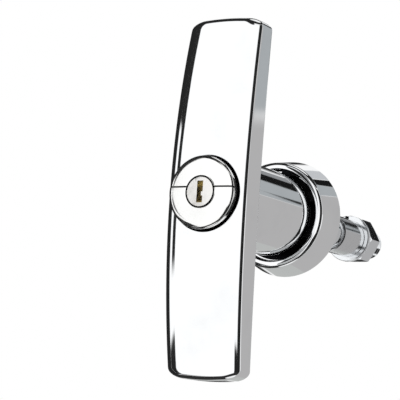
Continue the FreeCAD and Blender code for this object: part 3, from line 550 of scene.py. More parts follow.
@dataclass(frozen=True)
class Finish:
    """One finish of the lock, as a procedural material.

    Args:
        slot: the record's slot that it fills.
        colour: its colour.
        stain_colour: the colour of its faint clouding.
        metal: 1 for a metal, 0 for a plastic or rubber.
        rough: roughness where it is smoothest.
        haze: how much rougher the clouded parts are.
        ripple: height of its unevenness, in metres.
        grain: which way its marks run.
        mark_depth: height of those marks, in metres.
        mark_pitch: how many marks there are, as the noise's scale.
        painted_shade_colour: colour of the shade painted in its hollows.
        painted_shade_rough: how much rougher those hollows are.
    """

    slot: Slot
    colour: Point
    stain_colour: Point
    metal: float = 1.0
    rough: float = 0.05
    haze: float = 0.05
    ripple: float = 0.000002
    grain: Grain = Grain.NONE
    mark_depth: float = 0.000004
    mark_pitch: float = 9000.0
    # Painted shade for the hollows: near black and rougher.
    painted_shade_colour: Point = (0.012, 0.012, 0.013)
    painted_shade_rough: float = 0.4

    def material(self) -> bpy.types.Material:
        """Build the material, or fetch it if it was built before.

        Returns:
            The material.
        """
        name = self.slot.value + "_finish"
        if name in bpy.data.materials:
            return bpy.data.materials[name]
        made, board = NodeBoard.material(name)
        place = board.add("TexCoord")["Object"]
        # Painted shade: the mesh marks the faces in its hollows, and there the colour turns near
        # black and the roughness rises.
        painted_shade = board.add("Attribute", attribute_name="painted_shade")["Fac"]
        polish = board.add("Group", {"Vector": place}, node_tree=SurfaceGroups.polish())
        colour = board.add("Mix", {
            "Factor": polish["Stain"], "A": (*self.colour, 1.0),
            "B": (*self.stain_colour, 1.0)}, data_type="RGBA")
        # Painted shade mixed into the colour.
        colour = board.add("Mix", {
            "Factor": painted_shade, "A": colour["Result"],
            "B": (*self.painted_shade_colour, 1.0)}, data_type="RGBA")
        rough = board.add("MapRange", {
            "Value": polish["Haze"], "To Min": self.rough, "To Max": self.rough + self.haze})
        rough = board.add("Math", {0: painted_shade, 1: self.painted_shade_rough, 2: rough["Result"]},
                          operation="MULTIPLY_ADD")
        bump = board.add("Bump", {
            "Strength": 1.0, "Distance": self.ripple, "Height": polish["Ripple"]})
        if self.grain is Grain.TURNED:
            marks = board.add("Group", {"Vector": place, "Pitch": self.mark_pitch},
                              node_tree=SurfaceGroups.turning_marks())
            bump = board.add("Bump", {
                "Strength": 1.0, "Distance": self.mark_depth, "Height": marks["Marks"],
                "Normal": bump["Normal"]})
        board.feed(board.tree.nodes["Principled BSDF"], {
            "Base Color": colour["Result"], "Metallic": self.metal,
            "Roughness": rough["Value"], "Normal": bump["Normal"]})
        return made


@dataclass(frozen=True)
class Finishes:
    """All finishes of the lock."""

    chrome: Finish = Finish(
        Slot.CHROME, (0.90, 0.91, 0.92), (0.86, 0.87, 0.88), rough=0.04, haze=0.03)
    cylinder: Finish = Finish(
        Slot.CYLINDER, (0.92, 0.92, 0.91), (0.86, 0.86, 0.85), rough=0.10, haze=0.06,
        grain=Grain.TURNED, mark_depth=0.000002)
    plug: Finish = Finish(
        Slot.PLUG, (0.84, 0.83, 0.81), (0.62, 0.60, 0.57), rough=0.20, haze=0.10,
        grain=Grain.TURNED)
    brass: Finish = Finish(
        Slot.BRASS, (0.83, 0.62, 0.20), (0.60, 0.42, 0.14), rough=0.25, haze=0.15)
    zinc: Finish = Finish(
        Slot.ZINC, (0.82, 0.84, 0.86), (0.68, 0.70, 0.72), rough=0.08, haze=0.08)
    sleeve: Finish = Finish(
        Slot.SLEEVE, (0.72, 0.73, 0.74), (0.56, 0.57, 0.58), rough=0.12, haze=0.10,
        grain=Grain.TURNED, mark_depth=0.000002, mark_pitch=5000.0)
    cam: Finish = Finish(
        Slot.CAM, (0.50, 0.51, 0.52), (0.38, 0.38, 0.39), rough=0.28, haze=0.12)
    spring: Finish = Finish(
        Slot.SPRING, (0.36, 0.36, 0.37), (0.24, 0.24, 0.25), rough=0.30, haze=0.15)
    bush: Finish = Finish(
        Slot.BUSH, (0.045, 0.045, 0.047), (0.06, 0.06, 0.06), metal=0.0, rough=0.42, haze=0.12,
        ripple=0.00001)
    seal: Finish = Finish(
        Slot.SEAL, (0.018, 0.018, 0.018), (0.03, 0.03, 0.03), metal=0.0, rough=0.62, haze=0.12,
        ripple=0.00001)


@dataclass(frozen=True)
class HandleCasting:
    """The bowed, barrel-shaped grip and its stem, one polished casting, bored for the cylinder."""

    turner: Turner
    half_width: float = 12.5
    side_bulge: float = 1.0
    half_length: float = 54.8
    end_bulge: float = 1.0
    corner: float = 1.5
    corner_steps: int = 12
    face: float = -54.4
    thickness: float = 10.2
    end_thinning: float = 2.2
    sweep: float = 5.5
    past_end: float = 1.0
    side_round: float = 4.5
    end_round: float = 1.6
    front_drop: float = 2.0
    front_steps: int = 18
    back_round: float = 1.2
    back_steps: int = 6
    side_steps: int = 72
    end_steps: int = 20
    stem_radius: float = 13.3
    foot_radius: float = 13.6
    foot: float = -11.2
    foot_round: float = 2.0
    foot_steps: int = 10
    neck_radius: float = 12.0
    neck_break: float = 0.2
    thrust_face: float = -8.05
    journal_radius: float = 9.47
    journal_end: float = -0.4
    journal_break: float = 0.3
    stop_angles: Span = (174.0, 186.0)
    stop_radii: Span = (10.5, 14.6)
    stop_gap: float = 0.3
    bore: tuple[Ring, ...] = (
        Ring(0.0, -60.0), Ring(11.8, -60.0), Ring(11.8, -50.9), Ring(11.25, -50.5),
        Ring(8.05, -50.5), Ring(8.05, -18.4), Ring(4.9, -18.4), Ring(4.9, -10.7), Ring(0.0, -10.7))
    spindle_bore: tuple[Ring, ...] = (
        Ring(0.0, -7.4), Ring(5.5, -7.4), Ring(5.5, 1.0), Ring(0.0, 1.0))
    clip_groove: tuple[Ring, ...] = (
        Ring(8.8, -2.1), Ring(9.9, -2.1), Ring(9.9, -1.0), Ring(8.8, -1.0))
    bolt_slot: tuple[Point, Point] = ((-7.4, -10.7, -3.5), (15.0, -8.7, 3.5))
    retaining_pin: Pin = (1.25, (-20.0, -30.5, 0.0), (-4.0, -30.5, 0.0))
    cross_pin: Pin = (1.5, (0.0, -5.0, -12.0), (0.0, -5.0, 12.0))
    # Painted shade in the bore round the cylinder's head and on the stem inside the rosette's
    # mouth.
    hollows: tuple[PaintedShadeRing, ...] = (
        PaintedShadeRing(0.0, 11.81, -54.399, -12.0), PaintedShadeRing(0.0, 15.0, -11.19, 0.0))

    @property
    def bow_radius(self) -> float:
        """Radius of the grip's front face."""
        half = self.half_length + self.end_bulge + self.past_end
        return (half ** 2 + self.sweep ** 2) / (2.0 * self.sweep)

    def flat_face(self) -> tuple[Shape, bmesh.types.BMLayerItem]:
        """Draw the flat part of the grip's front, inside its rounded edges, cut into strips.

        Returns:
            The face, widest in its middle, and the layer with the way out from its outline.
        """
        shape = bmesh.new()
        outward = shape.verts.layers.float_vector.new("outward")
        wide = self.half_width - self.side_round
        long = self.half_length - self.end_round
        ends = ((-1, -1), (1, -1), (1, 1), (-1, 1))
        shape.faces.new([shape.verts.new((x * wide, 0.0, z * long)) for x, z in ends])
        bmesh.ops.bevel(shape, geom=shape.verts[:], offset=self.corner, offset_type="OFFSET",
                        affect="VERTICES", segments=self.corner_steps, profile=0.5, material=-1,
                        clamp_overlap=True)
        for long_way, steps in ((True, self.side_steps), (False, self.end_steps)):
            edges = [edge for edge in shape.edges
                     if edge.calc_length() > wide
                     and (abs(edge.verts[0].co.z - edge.verts[1].co.z) > wide) == long_way]
            bmesh.ops.subdivide_edges(shape, edges=edges, cuts=steps - 1)
        levels = sorted({round(vert.co.z, 4) for vert in shape.verts})
        for level in levels[1:-1]:
            bmesh.ops.bisect_plane(shape, geom=all_of(shape), dist=NEAR,
                                   plane_co=(0.0, 0.0, level), plane_no=(0.0, 0.0, 1.0))
        for vert in shape.verts:
            over_x = max(abs(vert.co.x) - wide + self.corner, 0.0) / self.corner
            over_z = max(abs(vert.co.z) - long + self.corner, 0.0) / self.corner
            vert[outward] = (math.copysign(over_x, vert.co.x), 0.0,
                             math.copysign(over_z, vert.co.z))
            across = vert.co.x / self.half_width
            along = vert.co.z / self.half_length
            bulge = math.copysign(self.side_bulge * (1.0 - along ** 2), across)
            vert.co.x += bulge * min(abs(vert.co.x) / wide, 1.0)
            vert.co.z += along * self.end_bulge * (1.0 - across ** 2)
        return shape, outward

    def growth(self) -> list[Point]:
        """List how the outline grows from the front face to the back one.

        Returns:
            For each step, how far the sides and the ends move out, and how deep the step goes.
        """
        stations = [(0.0, 0.0, 0.0)]
        for number in range(1, self.front_steps + 1):
            turn = QUARTER_TURN * number / self.front_steps
            stations.append((self.side_round * math.sin(turn), self.end_round * math.sin(turn),
                             self.front_drop * (1.0 - math.cos(turn))))
        for number in range(self.back_steps + 1):
            turn = QUARTER_TURN * number / self.back_steps
            drawn_in = self.back_round * (1.0 - math.cos(turn))
            stations.append((self.side_round - drawn_in, self.end_round - drawn_in,
                             self.thickness - self.back_round * (1.0 - math.sin(turn))))
        return [tuple(after - before for before, after in zip(first, second))
                for first, second in zip(stations, stations[1:])]

    def grip(self) -> Shape:
        """Shape the grip.

        Returns:
            The bowed bar, its front edges rounded wide and shallow and its back edges tight.
        """
        shape, outward = self.flat_face()
        cap = shape.faces[:]
        front = set(cap)
        for sides, ends, deeper in self.growth():
            grown = bmesh.ops.extrude_face_region(shape, geom=cap)["geom"]
            left_inside = [face for face in cap if face not in front]
            bmesh.ops.delete(shape, geom=left_inside, context="FACES")
            cap = [item for item in grown if isinstance(item, bmesh.types.BMFace)]
            for vert in verts_of(grown):
                vert.co += Vector((vert[outward].x * sides, deeper, vert[outward].z * ends))
        middle = self.face + self.bow_radius
        wall = self.thickness - self.front_drop
        for vert in shape.verts:
            behind = max(vert.co.y - self.front_drop, 0.0) / wall
            depth = vert.co.y - behind * self.end_thinning * (vert.co.z / self.half_length) ** 2
            vert.co.y = middle - math.sqrt((self.bow_radius - depth) ** 2 - vert.co.z ** 2)
        face_out(shape)
        return shape

    def stem(self) -> Shape:
        """Turn the stem with its rounded foot, the neck and the journal.

        Returns:
            The stem, from inside the grip to the journal's end.
        """
        start = self.face + self.thickness / 2.0
        back = self.face + self.thickness
        return self.turner.turned([
            Ring(0.0, start), Ring(self.stem_radius, start), Ring(self.stem_radius, back),
            Ring(self.foot_radius, self.foot, self.foot_round, self.foot_steps),
            Ring(self.neck_radius, self.foot),
            Ring(self.neck_radius, self.thrust_face, self.neck_break),
            Ring(self.journal_radius, self.thrust_face),
            Ring(self.journal_radius, self.journal_end, self.journal_break),
            Ring(0.0, self.journal_end)])

    def build(self, finish: Finish) -> Piece:
        """Join the grip and the stem, and bore them.

        Args:
            finish: the casting's plating.

        Returns:
            The casting.
        """
        turner = self.turner
        piece = turner.mesh("handle_casting_polished", self.grip())
        stop = turner.sector(self.stop_radii, (self.foot + self.stop_gap, self.thrust_face),
                             self.stop_angles)
        turner.combine(piece, "UNION", [self.stem(), stop])
        turner.combine(piece, "DIFFERENCE", [
            turner.turned(self.bore, BORE_STEPS),
            turner.turned(self.spindle_bore, MEDIUM_STEPS),
            turner.block(*self.bolt_slot),
            turner.turned(self.clip_groove, MEDIUM_STEPS),
            turner.rod(*self.retaining_pin),
            turner.rod(*self.cross_pin)])
        return turner.finish(piece, finish, Body.HANDLE, ["handle_casting"], self.hollows)


@dataclass(frozen=True)
class Rosette:
    """The tapered rosette that the handle turns in, with keepers, stop blocks and screw holes."""

    turner: Turner
    base_radius: float = 19.0
    base_round: float = 0.35
    lip_radius: float = 17.1
    lip_round: float = 1.2
    lip_steps: int = 7
    mouth_radius: float = 15.0
    mouth_round: float = 0.4
    depth: float = 10.5
    web_front: float = -7.0
    web_cove: float = 0.5
    web_back: float = -3.0
    bush_radius: float = 10.5
    dark_radius: float = 14.2
    recess_radius: float = 12.6
    recess_break: float = 0.25
    block_radii: Span = (12.4, 15.2)
    block_face: float = -10.0
    block_root: float = 0.5
    blocks: tuple[Span, ...] = ((17.4, 31.4), (-31.4, -17.4), (187.5, 201.5), (68.5, 82.5))
    screw_place: float = 15.0
    screw_radius: float = 1.65
    screw_depth: float = 6.0
    # Painted shade in the rosette's mouth round the stem and on its inner faces.
    hollows: tuple[PaintedShadeRing, ...] = (
        PaintedShadeRing(10.4, 14.2, -10.05, -3.5), PaintedShadeRing(14.9, 15.25, -8.6, -3.5),
        PaintedShadeRing(0.0, 16.8, -6.2, -0.3))

    def build(self, finish: Finish) -> Piece:
        """Turn the rosette, add its blocks and drill it.

        Args:
            finish: its plating.

        Returns:
            The rosette.
        """
        turner = self.turner
        piece = turner.mesh("rosette_turned", turner.turned([
            Ring(self.bush_radius, self.web_front), Ring(self.dark_radius, self.web_front),
            Ring(self.mouth_radius, self.web_front, self.web_cove, 3),
            Ring(self.mouth_radius, -self.depth, self.mouth_round, 4),
            Ring(self.lip_radius, -self.depth, self.lip_round, self.lip_steps),
            Ring(self.base_radius, 0.0, self.base_round, 3),
            Ring(self.recess_radius, 0.0, self.recess_break),
            Ring(self.recess_radius, self.web_back),
            Ring(self.bush_radius, self.web_back)], WIDE_STEPS))
        depth = (self.block_face, self.web_front + self.block_root)
        turner.combine(piece, "UNION", [
            turner.sector(self.block_radii, depth, angles) for angles in self.blocks])
        turner.combine(piece, "DIFFERENCE", [
            turner.rod(self.screw_radius, (0.0, -self.screw_depth, height), (0.0, 1.0, height))
            for height in (self.screw_place, -self.screw_place)])
        return turner.finish(piece, finish, Body.ROSETTE, ["rosette"], self.hollows)


@dataclass(frozen=True)
class KeyCylinder:
    """The key cylinder: its housing with a domed head, and the plug with its keyway."""

    turner: Turner
    head_radius: float = 11.2
    head_face: float = -57.76
    head_dome: float = 0.3
    face_rings: tuple[float, ...] = (5.6, 6.6, 7.6, 8.4)
    rim_reach: float = 2.0
    rim_drop: float = 1.1
    rim_steps: int = 10
    seat: float = -50.5
    barrel_radius: float = 8.0
    barrel_end: float = -20.0
    end_break: float = 0.3
    flange_hole: float = 4.95
    flange_floor: float = -56.15
    hole_break: float = 0.12
    plug_bore: float = 4.33
    seal_floor: float = 6.805
    seal_front: float = -47.12
    seal_back: float = -45.88
    channel_side: float = 2.5
    channel_top: float = 5.35
    channel_front: float = -52.7
    retaining_pin: Pin = (1.25, (-12.0, -30.5, 0.0), (-6.7, -30.5, 0.0))
    groove_height: float = 1.5
    groove_width: float = 0.5
    groove_depth: float = 0.8
    groove_past: float = 0.5
    groove_above: float = 2.0
    groove_cuts: int = 15
    plug_face: float = -57.7
    flange_radius: float = 4.62
    flange_depth: float = 1.5
    flange_round: float = 0.3
    plug_radius: float = 4.3
    plug_end: float = -18.4
    clip_floor: float = 3.5
    clip_front: float = -19.95
    clip_back: float = -19.15
    tail_radius: float = 2.6
    tail_end: float = -13.5
    cam_pin: Pin = (0.75, (-6.0, -15.925, 0.0), (6.0, -15.925, 0.0))
    keyway_half: float = 1.0
    keyway_tall: float = 3.3
    keyway_front: float = -60.0
    keyway_past: float = 3.6
    ward: tuple[Point, Point] = ((0.5, -57.7, -1.2), (1.2, -55.0, 0.0))
    first_tumbler: float = -51.7
    pitch: float = 2.6
    tumblers: int = 5
    slot_half: float = 0.55
    slot_box: tuple[Span, Span] = ((-2.35, 2.35), (-6.0, 6.0))
    well_box: tuple[Span, Span] = ((0.0, 3.35), (-2.1, 1.7))
    # Painted shade in the hole round the plug, inside the barrel and in the groove across the
    # head.
    hollows: tuple[PaintedShadeRing | PaintedShadeBox, ...] = (
        PaintedShadeRing(0.0, 4.97, -57.7, -18.0), PaintedShadeRing(0.0, 12.0, -51.4, -18.0),
        PaintedShadeBox((-12.0, -58.0, 1.248), (12.0, -56.0, 1.752)))

    def dome(self, radius: float) -> float:
        """Find the place of the head's face at a radius."""
        return self.head_face + self.head_dome * (radius / self.head_radius) ** 2

    def face_groove(self) -> Shape:
        """Make the cutter for the fine groove across the head.

        Returns:
            The cutter, as deep in the head at the rim as in the middle.
        """
        reach = self.head_radius + self.groove_past
        half = self.groove_width / 2.0
        shape = self.turner.block(
            (-reach, self.head_face - self.groove_above, self.groove_height - half),
            (reach, self.head_face, self.groove_height + half))
        along = [edge for edge in shape.edges if edge.calc_length() > 2.0 * self.head_radius]
        bmesh.ops.subdivide_edges(shape, edges=along, cuts=self.groove_cuts, use_grid_fill=True)
        for vert in shape.verts:
            if vert.co.y > self.head_face - self.groove_above / 2.0:
                radius = math.hypot(vert.co.x, self.groove_height)
                vert.co.y = self.dome(radius) + self.groove_depth
        return shape

    def housing(self, finish: Finish) -> Piece:
        """Turn the head and the barrel, and cut the groove, the channels and the pin's hole.

        Args:
            finish: the cylinder's plating.

        Returns:
            The housing.
        """
        turner = self.turner
        rings = [Ring(self.flange_hole, self.dome(self.flange_hole), self.hole_break)]
        rings += [Ring(radius, self.dome(radius)) for radius in self.face_rings]
        flat = self.head_radius - self.rim_reach
        for number in range(self.rim_steps + 1):
            turn = QUARTER_TURN * number / self.rim_steps
            rings.append(Ring(flat + self.rim_reach * math.sin(turn),
                              self.dome(flat) + self.rim_drop * (1.0 - math.cos(turn))))
        rings += [
            Ring(self.head_radius, self.seat), Ring(self.barrel_radius, self.seat),
            Ring(self.barrel_radius, self.seal_front), Ring(self.seal_floor, self.seal_front),
            Ring(self.seal_floor, self.seal_back), Ring(self.barrel_radius, self.seal_back),
            Ring(self.barrel_radius, self.barrel_end, self.end_break),
            Ring(self.plug_bore, self.barrel_end), Ring(self.plug_bore, self.flange_floor),
            Ring(self.flange_hole, self.flange_floor)]
        piece = turner.mesh("lock_cylinder_head", turner.turned(rings))
        side, top, front, back = (self.channel_side, self.channel_top, self.channel_front,
                                  self.plug_end)
        turner.combine(piece, "DIFFERENCE", [
            self.face_groove(),
            turner.block((-side, front, -side), (top, back, side)),
            turner.block((-side, front, -side), (side, back, top)),
            turner.rod(*self.retaining_pin)])
        return turner.finish(piece, finish, Body.HANDLE, ["lock_housing"], self.hollows)

    def plug(self, finish: Finish) -> Piece:
        """Turn the plug and cut its keyway, its tumbler slots and its spring wells.

        Args:
            finish: the plug's finish.

        Returns:
            The plug.
        """
        turner = self.turner
        flange_back = self.plug_face + self.flange_depth
        piece = turner.mesh("key_plug_turned", turner.turned([
            Ring(0.0, self.plug_face),
            Ring(self.flange_radius, self.plug_face, self.flange_round, 3),
            Ring(self.flange_radius, flange_back), Ring(self.plug_radius, flange_back),
            Ring(self.plug_radius, self.clip_front), Ring(self.clip_floor, self.clip_front),
            Ring(self.clip_floor, self.clip_back), Ring(self.plug_radius, self.clip_back),
            Ring(self.plug_radius, self.plug_end), Ring(self.tail_radius, self.plug_end),
            Ring(self.tail_radius, self.tail_end, self.end_break), Ring(0.0, self.tail_end)],
            MEDIUM_STEPS))
        end = self.first_tumbler + self.pitch * (self.tumblers - 1) + self.keyway_past
        cuts = [turner.block((-self.keyway_half, self.keyway_front, -self.keyway_tall),
                             (self.keyway_half, end, self.keyway_tall)),
                turner.rod(*self.cam_pin)]
        for number in range(self.tumblers):
            middle = self.first_tumbler + self.pitch * number
            for (left, right), (low, high) in (self.slot_box, self.well_box):
                cuts.append(turner.block((left, middle - self.slot_half, low),
                                         (right, middle + self.slot_half, high)))
        turner.combine(piece, "DIFFERENCE", cuts)
        turner.combine(piece, "UNION", [turner.block(*self.ward)])
        return turner.finish(piece, finish, Body.PLUG, ["key_plug"])


@dataclass(frozen=True)
class SpindleEnd:
    """The spindle with its thread, and the sleeve, the split washer and the nut on it."""

    turner: Turner
    front: float = -7.4
    shoulder: float = 30.0
    shoulder_break: float = 0.25
    radius: float = 5.5
    crest: float = 5.0
    tooth: tuple[Span, ...] = (
        (4.15, 0.0), (4.15, 0.12), (5.0, 0.44), (5.0, 0.56), (4.15, 0.88), (4.15, 1.0))
    pitch: float = 1.5
    thread_steps: int = 48
    spare_turns: int = 3
    end: float = 64.0
    tip: float = 1.0
    over: float = 0.2
    overlap: float = 0.5
    cross_pin: Pin = (1.5, (0.0, -5.0, -8.0), (0.0, -5.0, 8.0))
    sleeve_radius: float = 6.5
    sleeve_round: float = 0.4
    bore: float = 5.15
    sleeve_back: float = 45.0
    washer_radius: float = 8.0
    washer_round: float = 0.3
    washer_back: float = 47.0
    washer_gap: float = 1.4
    gap_past: float = 0.2
    gap_above: float = 2.0
    coil_gap: float = 0.14
    coil_depth: float = 0.8
    coil_break: float = 0.15
    # Sizes of the shade painted between the washer's coils and in its bore.
    shade_half: float = 0.16
    shade_under: float = 0.2
    shade_bore: float = 5.25
    nut_half: float = 7.0
    nut_back: float = 55.0
    nut_spare: float = 1.0
    nut_bevel: float = 0.9
    nut_bore: float = 4.55
    nut_mouth: float = 5.6
    mouth_depth: float = 0.7
    collar_inset: float = 0.35
    collar_break: float = 0.12
    collar_height: float = 0.5

    def thread(self) -> Shape:
        """Wind the thread past both of its ends and close it.

        Returns:
            The threaded rod, before its ends are trimmed.
        """
        shape = bmesh.new()
        start = self.shoulder - 2.0 * self.pitch
        turns = math.ceil((self.end - start) / self.pitch) + self.spare_turns
        corners = [shape.verts.new((radius, start + share * self.pitch, 0.0))
                   for radius, share in self.tooth]
        for first, second in zip(corners, corners[1:]):
            shape.edges.new((first, second))
        bmesh.ops.spin(shape, geom=all_of(shape), cent=MIDDLE, axis=AXIS,
                       dvec=(0.0, self.pitch / self.thread_steps, 0.0), angle=FULL_TURN * turns,
                       steps=self.thread_steps * turns, use_merge=False)
        bmesh.ops.remove_doubles(shape, verts=shape.verts[:], dist=NEAR)
        for place, way in ((self.shoulder - self.pitch, -1.0), (self.end + self.pitch, 1.0)):
            bmesh.ops.bisect_plane(shape, geom=all_of(shape), plane_co=(0.0, place, 0.0),
                                   plane_no=(0.0, way, 0.0), clear_outer=True)
            rim = [edge for edge in shape.edges if edge.is_boundary
                   and all(abs(vert.co.y - place) < NEAR for vert in edge.verts)]
            bmesh.ops.holes_fill(shape, edges=rim, sides=0)
        face_out(shape)
        return shape

    def spindle(self, finish: Finish) -> Piece:
        """Trim the thread to a bevelled tip and join it to the plain rod.

        Args:
            finish: the spindle's plating.

        Returns:
            The spindle.
        """
        turner = self.turner
        inside = self.shoulder - self.overlap
        wide = self.crest + self.over
        piece = turner.mesh("spindle_threaded", self.thread())
        turner.combine(piece, "INTERSECT", [turner.turned([
            Ring(0.0, inside), Ring(wide, inside), Ring(wide, self.end - self.tip - self.over),
            Ring(self.crest - self.tip, self.end), Ring(0.0, self.end)], SMALL_STEPS)])
        turner.combine(piece, "UNION", [turner.turned([
            Ring(0.0, self.front), Ring(self.radius, self.front),
            Ring(self.radius, self.shoulder, self.shoulder_break),
            Ring(0.0, self.shoulder)], SMALL_STEPS)])
        turner.combine(piece, "DIFFERENCE", [turner.rod(*self.cross_pin)])
        return turner.finish(piece, finish, Body.HANDLE, ["spindle"])

    def sleeve(self, finish: Finish) -> Piece:
        """Turn the spacer sleeve.

        Args:
            finish: the sleeve's finish.

        Returns:
            The sleeve.
        """
        turner = self.turner
        piece = turner.mesh("spacer_sleeve_turned", turner.turned([
            Ring(self.bore, self.shoulder),
            Ring(self.sleeve_radius, self.shoulder, self.sleeve_round, 3),
            Ring(self.sleeve_radius, self.sleeve_back, self.sleeve_round, 3),
            Ring(self.bore, self.sleeve_back)], MEDIUM_STEPS))
        return turner.finish(piece, finish, Body.HANDLE, ["spacer_sleeve"])

    def washer(self, finish: Finish) -> Piece:
        """Turn the two coils of the spring washer and cut their slanted gap at the top.

        Args:
            finish: the washer's plating.

        Returns:
            The washer.
        """
        turner = self.turner
        front, back, rim = self.sleeve_back, self.washer_back, self.washer_radius
        middle = (front + back) / 2.0
        coil_floor = rim - self.coil_depth
        piece = turner.mesh("split_washer", turner.turned([
            Ring(self.bore, front), Ring(rim, front, self.washer_round, 3),
            Ring(rim, middle - self.coil_gap, self.coil_break),
            Ring(coil_floor, middle - self.coil_gap), Ring(coil_floor, middle + self.coil_gap),
            Ring(rim, middle + self.coil_gap, self.coil_break),
            Ring(rim, back, self.washer_round, 3), Ring(self.bore, back)], MEDIUM_STEPS))
        gap = turner.block((-self.washer_gap, front - self.gap_past, 0.0),
                           (0.0, back + self.gap_past, rim + self.gap_above))
        for vert in gap.verts:
            if vert.co.y > back:
                vert.co.x += self.washer_gap
        turner.combine(piece, "DIFFERENCE", [gap])
        # Painted shade between the two coils and in the bore.
        return turner.finish(piece, finish, Body.HANDLE, ["lock_washer"], (
            PaintedShadeRing(0.0, rim - self.shade_under, middle - self.shade_half, middle + self.shade_half),
            PaintedShadeRing(0.0, self.shade_bore, front, back)))

    def nut(self, finish: Finish) -> Piece:
        """Extrude the hexagon past both ends, turn off its ends and corners, and bore it.

        Args:
            finish: the nut's plating.

        Returns:
            The nut.
        """
        turner = self.turner
        front, back, half = self.washer_back, self.nut_back, self.nut_half
        shape = bmesh.new()
        reach = half / math.cos(math.pi / 6.0)
        face = shape.faces.new([
            shape.verts.new((reach * math.cos(turn * math.pi / 3.0), front - self.nut_spare,
                             reach * math.sin(turn * math.pi / 3.0))) for turn in range(6)])
        grown = bmesh.ops.extrude_face_region(shape, geom=[face])["geom"]
        bmesh.ops.translate(shape, vec=(0.0, back - front + 2.0 * self.nut_spare, 0.0),
                            verts=verts_of(grown))
        face_out(shape)
        piece = turner.mesh("hex_nut_bevelled", shape)
        wide = half + 2.0 * self.nut_bevel
        collar = half - self.collar_inset
        collar_back = front + self.collar_height
        turner.combine(piece, "INTERSECT", [turner.turned([
            Ring(0.0, front), Ring(collar, front, self.collar_break), Ring(collar, collar_back),
            Ring(half, collar_back), Ring(wide, collar_back + self.nut_bevel),
            Ring(wide, back - self.nut_bevel), Ring(half, back), Ring(0.0, back)],
            MEDIUM_STEPS)])
        turner.combine(piece, "DIFFERENCE", [turner.turned([
            Ring(0.0, front - self.overlap), Ring(self.nut_mouth, front - self.overlap),
            Ring(self.nut_bore, front + self.mouth_depth),
            Ring(self.nut_bore, back - self.mouth_depth),
            Ring(self.nut_mouth, back + self.overlap), Ring(0.0, back + self.overlap)],
            SMALL_STEPS)])
        return turner.finish(piece, finish, Body.HANDLE, ["hex_nut"])


@dataclass(frozen=True)
class InnerWorks:
    """The pieces inside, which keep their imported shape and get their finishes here."""

    nodes: dict[str, Piece]
    sprung: tuple[str, ...] = ("disc_spring", "stem_circlip", "plug_clip", "spindle_cross_pin",
                               "lock_retaining_pin", "cam_pin")
    tumblers: int = 5

    def dress(self, finishes: Finishes) -> None:
        """Give each inner piece its finish.

        Args:
            finishes: the lock's finishes.
        """
        numbers = range(1, self.tumblers + 1)
        springs = [f"tumbler_spring_{number}" for number in numbers]
        for finish, names in (
                (finishes.bush, ["bearing_bush"]), (finishes.spring, [*self.sprung, *springs]),
                (finishes.seal, ["sealing_ring"]), (finishes.cam, ["bolt_cam", "locking_bolt"]),
                (finishes.brass, [f"tumbler_{number}" for number in numbers])):
            for name in names:
                piece = self.nodes[name]
                if not piece.material_slots:
                    piece.data.materials.append(finish.material())
                for slot in piece.material_slots:
                    slot.material = finish.material()
                LOG.info("%s: packed shape, %s", name, finish.slot.value)


@dataclass(frozen=True)
class Card:
    """A studio card that the polished metal mirrors, as a patch of a sphere round the lock.

    Args:
        name: its name.
        azimuth: from and to, in degrees from the front towards the right.
        height: from and to, in degrees above the horizon.
        distance: how far away it stands, in metres.
        feather: share of its size over which its edges fade, sideways and upwards.
        strength: how bright it is, where 1 is white. A flag is nearly black.
        tint: its colour.
        steps: how many faces it has each way.
    """

    name: str
    azimuth: Span
    height: Span
    distance: float
    feather: Span
    strength: float = 0.02
    tint: Tint = Tint.WHITE
    steps: int = 24

    def build(self) -> Piece:
        """Bend a flat grid into the patch and let it glow.

        Returns:
            The card, staged and seen only in reflections.
        """
        shape = bmesh.new()
        bmesh.ops.create_grid(shape, x_segments=self.steps, y_segments=self.steps, size=0.5,
                              calc_uvs=False)
        layer = shape.loops.layers.uv.new("UVMap")
        for face in shape.faces:
            for loop in face.loops:
                loop[layer].uv = (loop.vert.co.x + 0.5, loop.vert.co.y + 0.5)
        for vert in shape.verts:
            vert.co = self.distance * direction(*(
                low + (share + 0.5) * (high - low)
                for share, (low, high) in zip(vert.co, (self.azimuth, self.height))))
        card = link_mesh(self.name, shape)
        card.data.materials.append(self.glow())
        card.visible_camera = False
        card.visible_diffuse = False
        card.visible_shadow = False
        return card

    def glow(self) -> bpy.types.Material:
        """Make the card's light, which fades at its edges.

        Returns:
            The glowing material.
        """
        made, board = NodeBoard.material(self.name + "_glow")
        board.tree.nodes.clear()
        place = board.add("SeparateXYZ", {"Vector": board.add("TexCoord")["UV"]})
        fades = []
        for axis, feather in zip("XY", self.feather):
            fold = board.add("Math", {0: place[axis], 1: 0.5}, operation="PINGPONG")
            fades.append(board.add("MapRange", {
                "Value": fold["Value"], "From Max": max(feather, LEAST_FEATHER)},
                interpolation_type="SMOOTHSTEP")["Result"])
        both = board.add("Math", {0: fades[0], 1: fades[1]}, operation="MULTIPLY")
        clear = board.add("BsdfTransparent")
        light = board.add("Emission", {"Color": (*self.tint.value, 1.0),
                                       "Strength": self.strength})
        mix = board.add("MixShader", {"Fac": both["Value"], 1: clear["BSDF"],
                                      2: light["Emission"]})
        board.add("OutputMaterial", {"Surface": mix["Shader"]})
        return made


